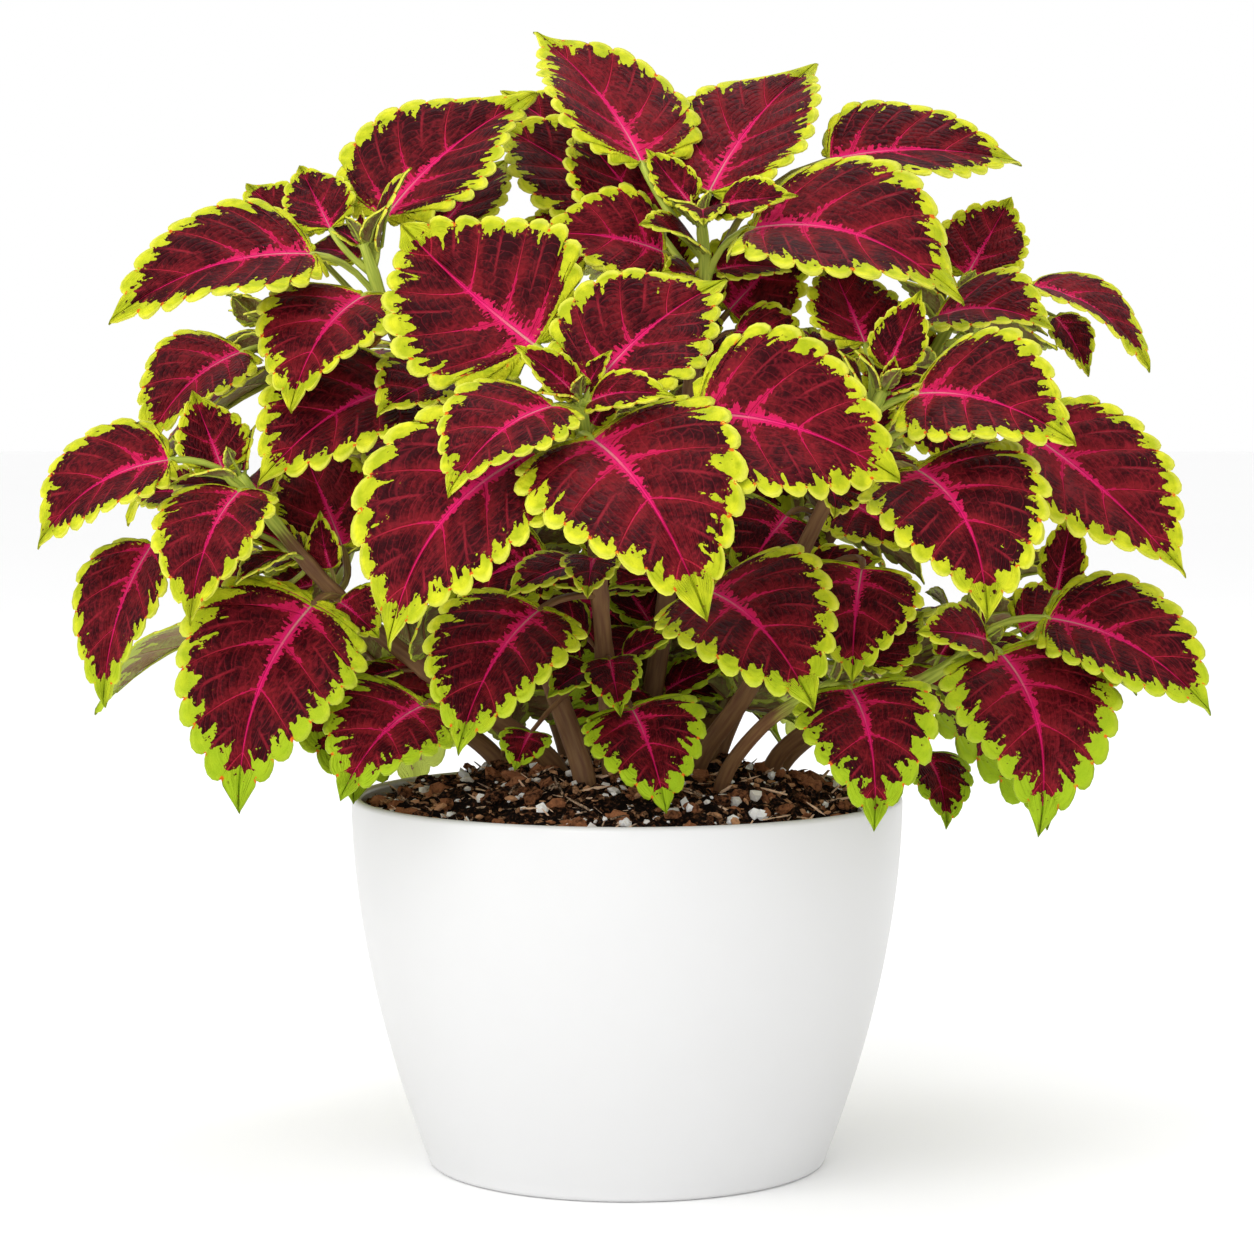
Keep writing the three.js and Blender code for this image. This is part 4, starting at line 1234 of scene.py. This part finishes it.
grow(
    "shoot_crown",
    stem=((4, 10, 104), (10, 8, 147), (17, 2, 208), (21, -4, 240), (20, -6, 255)),
    face=(0, -0.8, 0.6),
    leaves=(
        (3, (25, -12, 259), (45, -24, 261), 14, 0.06, 0.03),
        (3, (17, -6, 260), (5, -2, 275), 12, 0, 0),
        (4, (20, -12, 258), (20, -30, 253), 13, 0.08, 0, (0, -0.3, 0.95)),
        (10, (4, -2, 271), (-26, 26, 309), 41, 0.02, 0.06, (0.55, -0.78, 0.3)),
        (10, (22, -2, 263), (54, 24, 302), 37, 0.04, -0.03, (-0.3, -0.85, 0.4)),
        (19, (33, -12, 253), (88, -32, 232), 52, 0.14, -0.03, (0.15, -0.66, 0.74)),
        (19, (7, -2, 255), (-15, 18, 283), 32, 0.02, 0, (0.3, -0.8, 0.5)),
        (28, (0, 14, 260), (-36, 36, 284), 34, 0.05, 0),
        (30, (10, -6, 247), (-25, -14, 241), 29, 0.1, 0),
        (36, (-9, 8, 251), (-38, 20, 261), 26, 0.06, 0),
        (34, (55, 14, 273), (109, 22, 272), 37, 0.08, 0, (0, -0.6, 0.8)),
        (42, (-10, 34, 277), (-36, 44, 295), 24, 0.02, 0),
        (46, (29, -4, 226), (49, -16, 220), 19, 0.08, 0),
        (44, (28, 16, 232), (50, 12, 254), 30, 0.04, 0, (0, -0.9, 0.4)),
        (40, (8, 12, 238), (0, 16, 262), 24, 0.02, 0, (0.1, -0.95, 0.2)),
    ),
)


# ---- The front shoot -----------------------------------------------------------------------------
# Rises from near the pot's middle and bends towards the viewer. Its broad crossed pairs fan over the
# pot's rim, and the lower ones hang in front of it.
grow(
    "shoot_front",
    stem=((-4, -24, 107), (-5, -27, 127), (-7, -36, 155),
          (-9, -50, 182), (-11, -66, 202), (-12, -70, 208)),
    face=(-0.1, -0.8, 0.6),
    leaves=(
        (2, (-9, -74, 207), (12, -92, 208), 13, 0.1, 0),
        (3, (-13, -72, 209), (-28, -78, 221), 11, 0.05, 0),
        (6, (-8, -70, 211), (26, -46, 238), 38, 0.03, -0.05, (-0.2, -0.85, 0.5)),
        (6, (-18, -78, 206), (-43, -106, 184), 31, 0.08, 0.05, (-0.25, -0.8, 0.6)),
        (14, (-23, -56, 221), (-59, -34, 253), 50, 0, -0.02, (0.05, -0.95, 0.3)),
        (14, (-9, -80, 198), (19, -120, 155), 50, 0.12, -0.03, (-0.05, -0.8, 0.6)),
        (26, (-22, -84, 195), (-58, -112, 146), 48, 0.13, 0.08, (-0.25, -0.8, 0.6)),
        (22, (17, -86, 204), (67, -108, 187), 45, 0.12, -0.03, (0.1, -0.85, 0.5)),
        (50, (20, -54, 159), (46, -90, 131), 42, 0.1, -0.04, (0.1, -0.85, 0.5)),
        (62, (-22, -52, 154), (-42, -80, 119), 36, 0.1, 0.04, (-0.2, -0.8, 0.5)),
        (84, (1, -44, 128), (10, -68, 103), 29, 0.08, -0.02, (0.05, -0.9, 0.4)),
        (80, (-25, -40, 121), (-29, -50, 112), 13, 0.08, 0),
        (56, (-21, -33, 167), (-47, -44, 154), 27, 0.08, 0.03, (-0.1, -0.85, 0.5)),
    ),
)


# ---- The upper left shoot ------------------------------------------------------------------------
# A long shoot that leans to the left over the one below it. It ends in a small rosette between two
# narrower leaves that reach out sideways.
grow(
    "shoot_upper_left",
    stem=((-11, -28, 106), (-18, -26, 128), (-34, -20, 170),
          (-52, -14, 208), (-63, -12, 228), (-70, -14, 249)),
    face=(-0.2, -0.7, 0.7),
    leaves=(
        (8, (-65, -6, 256), (-24, 14, 291), 44, 0.02, -0.07, (-0.5, -0.75, 0.4)),
        (22, (-83, -18, 246), (-135, -34, 227), 39, 0.11, 0.02, (-0.1, -0.65, 0.75)),
        (24, (-69, -24, 235), (-86, -50, 204), 36, 0.1, 0.04, (-0.3, -0.75, 0.55)),
        (9, (-79, -12, 253), (-89, 2, 271), 18, 0.02, 0),
        (24, (-51, 10, 254), (-33, 24, 274), 26, 0.05, 0),
        (26, (-88, 6, 251), (-105, 20, 267), 20, 0.04, 0),
        (48, (-57, -22, 211), (-95, -48, 185), 42, 0.12, 0.02, (0.1, -0.55, 0.8)),
        (46, (-42, -28, 213), (-64, -52, 203), 28, 0.08, 0.02),
    ),
)


# ---- The left shoot ------------------------------------------------------------------------------
# Leaves the soil low and arches out past the pot's left side. Its older leaves have turned down
# under their own weight and hide the stem.
grow(
    "shoot_left",
    stem=((-18, -6, 106), (-46, -20, 130), (-74, -30, 154), (-95, -34, 179), (-101, -36, 188)),
    face=(-0.2, -0.7, 0.7),
    leaves=(
        (3, (-105, -34, 191), (-120, -26, 198), 12, 0, 0),
        (5, (-105, -38, 189), (-114, -30, 210), 18, 0, 0, (0.2, -0.9, 0.3)),
        (9, (-118, -42, 192), (-152, -46, 169), 32, 0.12, 0.06, (-0.25, -0.65, 0.7)),
        (10, (-100, -44, 184), (-109, -76, 151), 28, 0.1, 0.03, (-0.15, -0.8, 0.6)),
        (15, (-115, -24, 183), (-132, -16, 182), 15, 0.06, 0),
        (30, (-124, -34, 170), (-135, -46, 128), 28, 0.08, 0.03, (-0.5, -0.75, 0.4)),
        (30, (-99, -22, 157), (-118, -8, 152), 18, 0.1, 0),
        (46, (-81, -42, 155), (-98, -68, 103), 44, 0.08, 0.08, (-0.05, -0.88, 0.45)),
        (46, (-75, -38, 155), (-64, -56, 146), 16, 0.1, 0),
        (72, (-52, -48, 129), (-72, -74, 107), 32, 0.1, 0.04, (-0.1, -0.8, 0.55)),
        (40, (-76, -14, 168), (-90, 6, 197), 28, 0.05, 0, (0.1, -0.9, 0.4)),
    ),
)


# ---- The right shoot -----------------------------------------------------------------------------
# Stands at the right of the front shoot, with one wide leaf held out level and one turned down, and
# two young ones upright behind its top.
grow(
    "shoot_right",
    stem=((18, -12, 107), (33, -20, 132), (45, -28, 165), (55, -36, 187), (66, -46, 210)),
    face=(0.15, -0.75, 0.65),
    leaves=(
        (3, (67, -44, 215), (76, -42, 236), 14, 0, 0, (0, -0.9, 0.4)),
        (8, (74, -50, 209), (112, -74, 196), 39, 0.1, -0.03, (0.1, -0.8, 0.6)),
        (10, (62, -34, 222), (53, -18, 245), 24, 0.02, 0),
        (24, (103, -34, 200), (143, -54, 162), 41, 0.04, -0.02, (0.2, -0.75, 0.6)),
        (26, (51, -10, 216), (49, 6, 242), 24, 0.03, 0),
        (34, (73, -60, 190), (88, -92, 153), 43, 0.12, -0.08, (0.05, -0.8, 0.6)),
        (62, (61, -42, 164), (57, -64, 136), 30, 0.06, 0.02, (0, -0.92, 0.4)),
    ),
)


# ---- The shoot behind the right one --------------------------------------------------------------
# A slender shoot that climbs behind the right one. Its blades are small, thinly held and seen partly
# edge on.
grow(
    "shoot_right_back",
    stem=((24, 18, 106), (46, 22, 152), (71, 26, 196), (89, 28, 227), (93, 28, 236)),
    face=(0.2, -0.6, 0.75),
    leaves=(
        (8, (95, 34, 242), (109, 46, 265), 25, 0, 0, (-0.2, -0.9, 0.35)),
        (10, (85, 16, 230), (115, -6, 226), 31, 0.12, -0.02, (0.1, -0.65, 0.75)),
        (14, (112, 24, 239), (143, 10, 215), 25, 0.12, -0.05, (0.15, -0.35, 0.93)),
        (22, (120, 34, 231), (129, 30, 214), 14, 0.08, 0),
        (26, (99, 22, 223), (117, 4, 221), 19, 0.1, 0, (0.3, 0.3, 0.9)),
        (40, (78, 34, 212), (70, 22, 232), 26, 0.04, 0, (0, -0.9, 0.4)),
        (56, (80, 6, 204), (92, -4, 190), 22, 0.08, 0, (0.1, -0.85, 0.5)),
        (66, (60, 10, 180), (78, -8, 166), 26, 0.08, 0, (0.1, -0.85, 0.5)),
        (74, (44, 8, 176), (30, -6, 158), 28, 0.08, 0, (0, -0.85, 0.5)),
    ),
)


# ---- The low right shoot -------------------------------------------------------------------------
# A short side shoot that leans out over the rim at the right and turns up at its end, with a large
# leaf hanging down beside the pot.
grow(
    "shoot_low_right",
    stem=((39, 2, 106), (47, -6, 117), (65, -18, 126), (84, -28, 137), (93, -32, 144)),
    face=(0.1, -0.8, 0.6),
    leaves=(
        (5, (94, -38, 145), (74, -54, 148), 17, 0.06, 0),
        (10, (109, -42, 151), (149, -58, 127), 36, 0.1, -0.05, (0.15, -0.7, 0.7)),
        (11, (97, -40, 142), (103, -76, 98), 41, 0.1, -0.08, (0.05, -0.88, 0.45)),
        (16, (114, -22, 157), (119, -16, 179), 12, 0.02, 0),
        (22, (105, -14, 146), (127, 0, 151), 20, 0.08, 0),
        (42, (79, -26, 114), (83, -44, 96), 17, 0.08, -0.03, (0.3, -0.85, 0.4)),
    ),
)


# ---- The low front shoot -------------------------------------------------------------------------
# The shortest side shoot, with one leaf that hangs over the pot's front rim and a young one behind
# it.
grow(
    "shoot_low_front",
    stem=((25, -30, 106), (35, -38, 122), (45, -46, 130), (54, -50, 135)),
    face=(0, -0.85, 0.5),
    leaves=(
        (3, (57, -56, 134), (61, -88, 101), 33, 0.1, -0.05, (0, -0.9, 0.4)),
        (3, (60, -46, 140), (78, -34, 152), 18, 0.06, 0),
    ),
)


# ---- The far shoots ------------------------------------------------------------------------------
# Seven shoots at the far side, of the same build: stems that lean outwards and carry pairs of leaves,
# each pair across the last. Chance turns each leaf and sets its size. Crowded leaves are missing.
leaf_pairs = ((3, 3, 14, 62), (10, 6, 36, 42), (26, 11, 54, 16), (46, 15, 58, 0))
far_proportion = 0.78
far_sink = 40
far_arch = 0.1
turn_spread = 24
rise_spread = 14
size_least = 0.85
size_spread = 0.3
reaching_left = ((12, (-107, 26, 221), (-131, 8, 195), 32, 0.1, 0.04, (-0.2, -0.6, 0.75)),)
reaching_forward = (
    (88, (14, 34, 160), (30, 16, 136), 30, 0.1, 0, (0.1, -0.85, 0.5)),
    (100, (-6, 34, 152), (-22, 14, 130), 30, 0.1, 0, (-0.1, -0.85, 0.5)),
)
draw_factor = 16807
draw_range = 2147483647
draw = 20113


def drawn():
    global draw
    draw = draw * draw_factor % draw_range
    return draw / draw_range


def heading(turn, rise):
    turn, rise = math.radians(turn), math.radians(rise)
    level = math.cos(rise)
    return np.array([level * math.cos(turn), level * math.sin(turn), math.sin(rise)])


def paired_rows(places, first_turn):
    """Rows of leaves in crossed pairs for a stem whose topmost pair points the given way."""
    stem = Stem(places)
    rows = []
    for k, (below, stalk, blade, rise) in enumerate(leaf_pairs):
        for opposite in (0, 180):
            turn = first_turn + 90 * k + opposite + turn_spread * (drawn() - 0.5)
            size = size_least + size_spread * drawn()
            lift = rise + rise_spread * (drawn() - 0.5)
            base = stem.at(below) + heading(turn, lift) * stalk
            tip = base + heading(turn, lift - far_sink) * blade * size
            width = int(blade * size * far_proportion + 0.5)
            rows.append((below, base, tip, width, far_arch, 0))
    return tuple(rows)


far_shoots = (
    ("shoot_left_back", ((-7, 22, 106), (-35, 28, 152), (-69, 36, 199), (-104, 42, 230)), 20,
     reaching_left),
    ("shoot_back_left", ((-16, 30, 106), (-34, 52, 150), (-50, 74, 196), (-58, 86, 224)), 55, ()),
    ("shoot_back", ((4, 34, 107), (8, 48, 160), (10, 62, 214), (10, 70, 246)), 10, reaching_forward),
    ("shoot_back_right", ((20, 34, 106), (38, 58, 150), (56, 82, 190), (64, 92, 212)), 75, ()),
    ("shoot_low_back_left", ((-34, 14, 105), (-64, 34, 126), (-92, 54, 146), (-106, 64, 160)), 0, ()),
    ("shoot_low_back", ((-2, 48, 105), (-6, 76, 128), (-10, 102, 150), (-12, 116, 164)), 80, ()),
    ("shoot_low_back_right", ((42, 22, 104), (70, 42, 124), (98, 58, 144), (112, 66, 158)), 35, ()),
)
for name, places, first_turn, besides in far_shoots:
    grow(name, places, (0, 0, 1), besides + paired_rows(places, first_turn), spare=True)


# ---- The youngest leaves -------------------------------------------------------------------------
# Crossed pairs that have only just opened close each shoot's tip. Side buds in the leaf axils and at
# bare nodes bear small leaves too, wherever these stand clear of the older blades and the stems.
tip_pairs = ((1.5, 2.5, 13, 7.5, 0.75), (0.4, 1.2, 8.5, 4.6, 2.4))
young_arch = 0.08

axil_blade = 15
axil_blade_spread = 12
axil_nearest_tip = 7
bare_blade = 17
bare_blade_spread = 15
bare_from = 12
bare_until = 26
bare_node_gap = 15
bare_behind = 5

bud_stalk = 5
bud_stalk_stretch = (0.8, 1.6)
bud_proportion = 0.62
bud_outward = 0.5
bud_slants = (0.4, 1.1)
bud_droops = (0.1, 0.9)
bud_outward_looks = (0.3, 0.9)
bud_upward_look = 0.8
bud_seed = 5
bud_tries = 12
least_facing = 0.35
lit_side = 60
lit_middle = 12
clear_gap = 2.4
lowest_bud = 114
sample_start = 0.04
coarse_samples = (7, 5)
fine_samples = (17, 11)
stem_sample_gap = 3


def samples(leaf, rows, columns):
    """Points all over a blade, from near its base to its tip."""
    b, out = np.meshgrid(np.linspace(sample_start, 1, rows), np.linspace(-1, 1, columns))
    return leaf.on_blade(b, out * leaf.half(b), leaf.margin_lift(b, np.sign(out)) * out**2).reshape(-1, 3)


def tip_leaves(stem, leaves):
    """Two crossed pairs, the upper one steeper, turned across the topmost of the older leaves."""
    topmost = min(leaves, key=lambda leaf: leaf.below)
    young = []
    for below, stalk, blade, width, rise in tip_pairs:
        up = stem.along(below)
        outward = topmost.stalk[2] - topmost.stalk[0]
        outward = unit(outward - up * np.dot(outward, up))
        first = outward if young else np.cross(up, outward)
        for way in (first, -first):
            aim = unit(way + up * rise)
            base = stem.at(below) + aim * stalk
            tip = base + aim * blade
            young.append(Leaf(stem, below, base, tip, width, young_arch, 0, up - way * rise))
    return young


def stands_clear(points, taken, young):
    if points[:, 2].min() < lowest_bud:
        return False
    if min(taken.find(Vector(point))[2] for point in points) < clear_gap:
        return False
    others = [samples(other, *coarse_samples) for other in young]
    gaps = [np.linalg.norm(points - other[:, None], axis=-1).min() for other in others]
    return min(gaps, default=clear_gap) >= clear_gap


def bud_leaf(stem, below, out, way, size, draws):
    """A small leaf that leaves the stem beside the given direction, and how far it faces outwards."""
    node, up = stem.at(below), stem.along(below)
    across = unit(np.cross(up, out)) * way
    aim = out * bud_outward + up * draws.uniform(*bud_slants) + across * draws.uniform(*bud_slants)
    aim = unit(aim)
    base = node + aim * bud_stalk * draws.uniform(*bud_stalk_stretch)
    tip = base + unit(aim - (0, 0, draws.uniform(*bud_droops))) * size
    away = unit(node * (1, 1, 0) + (0, math.copysign(lit_side, node[1] - lit_middle), 0))
    face = away * draws.uniform(*bud_outward_looks) + (0, 0, bud_upward_look)
    leaf = Leaf(stem, below, base, tip, size * bud_proportion, young_arch, 0, face)
    return leaf, np.dot(np.cross(leaf.side, unit(tip - base)), away)


def bud_leaves(stem, leaves, taken, draws):
    """Small leaves in the leaf axils and at the bare nodes of the stem, where they find room."""
    places = [
        (leaf.below, unit(leaf.stalk[2] - leaf.stalk[0]), axil_blade, axil_blade_spread)
        for leaf in leaves if leaf.below > axil_nearest_tip
    ]
    for below in np.arange(bare_from, stem.length - bare_until, bare_node_gap):
        if stem.at(below)[1] < bare_behind:
            continue
        turn = draws.uniform(0, 2 * math.pi)
        out = np.array([math.cos(turn), math.sin(turn), 0])
        places += [(below, side, bare_blade, bare_blade_spread) for side in (out, -out)]
    young = []
    for below, out, size, spread in places:
        for way in (-1, 1):
            for _ in range(bud_tries):
                blade = size + spread * draws.uniform(0, 1)
                leaf, facing = bud_leaf(stem, below, out, way, blade, draws)
                points = samples(leaf, *coarse_samples)
                if facing > least_facing and stands_clear(points, taken, young):
                    young.append(leaf)
                    break
    return young


filled = [samples(leaf, *fine_samples) for _, _, leaves in shoots_grown for leaf in leaves]
for _, stem, _ in shoots_grown:
    filled.append([stem.at(below) for below in np.arange(0, stem.length, stem_sample_gap)])
taken = tree_of(np.concatenate(filled))
bud_draws = np.random.default_rng(bud_seed)
for node_name, stem, leaves in shoots_grown:
    young = tip_leaves(stem, leaves) + bud_leaves(stem, leaves, taken, bud_draws)
    stalks = [stalk_tube(leaf) for leaf in young]
    for piece in leafy_pieces(node_name + "_young", young, node_name + "_young_stalks", stalks):
        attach(piece, "root")


# ---- The studio ----------------------------------------------------------------------------------
# A matt pale floor in an even pale room, with a large soft lamp at the upper left, a weaker one above
# and another low in front. The camera stands in front, a little above the middle of the plant.
floor_half = 14.0
floor_cloud_grain = 0.6
floor_roughness = 0.8
floor_pale = (0.97, 0.97, 0.97, 1)
floor_shade = (0.955, 0.955, 0.955, 1)
room_light = (1.0, 1.0, 1.0, 1)
room_strength = 1.0
lamps = (
    ("key", (-0.9, -0.9, 1.4), (0, 0, 0.16), 1.1, 9.5),
    ("top", (0.3, 0.4, 1.7), (0, 0, 0.16), 1.0, 6),
    ("front", (-0.5, -1.6, 0.5), (0, 0, 0.13), 0.8, 5.5),
)
camera_place = (0, -0.920, 0.2063)
camera_dip = 3.754
camera_lens = 97.3
camera_sensor = 36

floor_mesh = bpy.data.meshes.new("studio_floor")
corners = [(x * floor_half, y * floor_half, 0) for x, y in ((-1, -1), (1, -1), (1, 1), (-1, 1))]
floor_mesh.from_pydata(corners, [], [(0, 1, 2, 3)])
material, wiring, shader = new_material("matt pale floor")
cloud = wiring.speckle(wiring.place(), floor_cloud_grain)
wiring.feed(shader.inputs["Base Color"], wiring.mixed(cloud, floor_shade, floor_pale))
shader.inputs["Roughness"].default_value = floor_roughness
floor = new_piece("studio_floor", floor_mesh, [material])

for name, place, aim, width, power in lamps:
    light = bpy.data.lights.new(name, "AREA")
    light.size = width
    light.energy = power
    lamp = bpy.data.objects.new(name, light)
    lamp.location = place
    lamp.rotation_euler = (Vector(aim) - Vector(place)).to_track_quat("-Z", "Y").to_euler()
    bpy.context.scene.collection.objects.link(lamp)

world = bpy.data.worlds.new("studio")
world.use_nodes = True
background = world.node_tree.nodes["Background"]
background.inputs["Color"].default_value = room_light
background.inputs["Strength"].default_value = room_strength
bpy.context.scene.world = world

camera = bpy.data.objects.new("camera", bpy.data.cameras.new("camera"))
camera.data.lens = camera_lens
camera.data.sensor_width = camera_sensor
camera.location = camera_place
camera.rotation_euler = (math.radians(90 - camera_dip), 0, 0)
bpy.context.scene.collection.objects.link(camera)
bpy.context.scene.camera = camera
bpy.context.scene.view_settings.view_transform = "Standard"
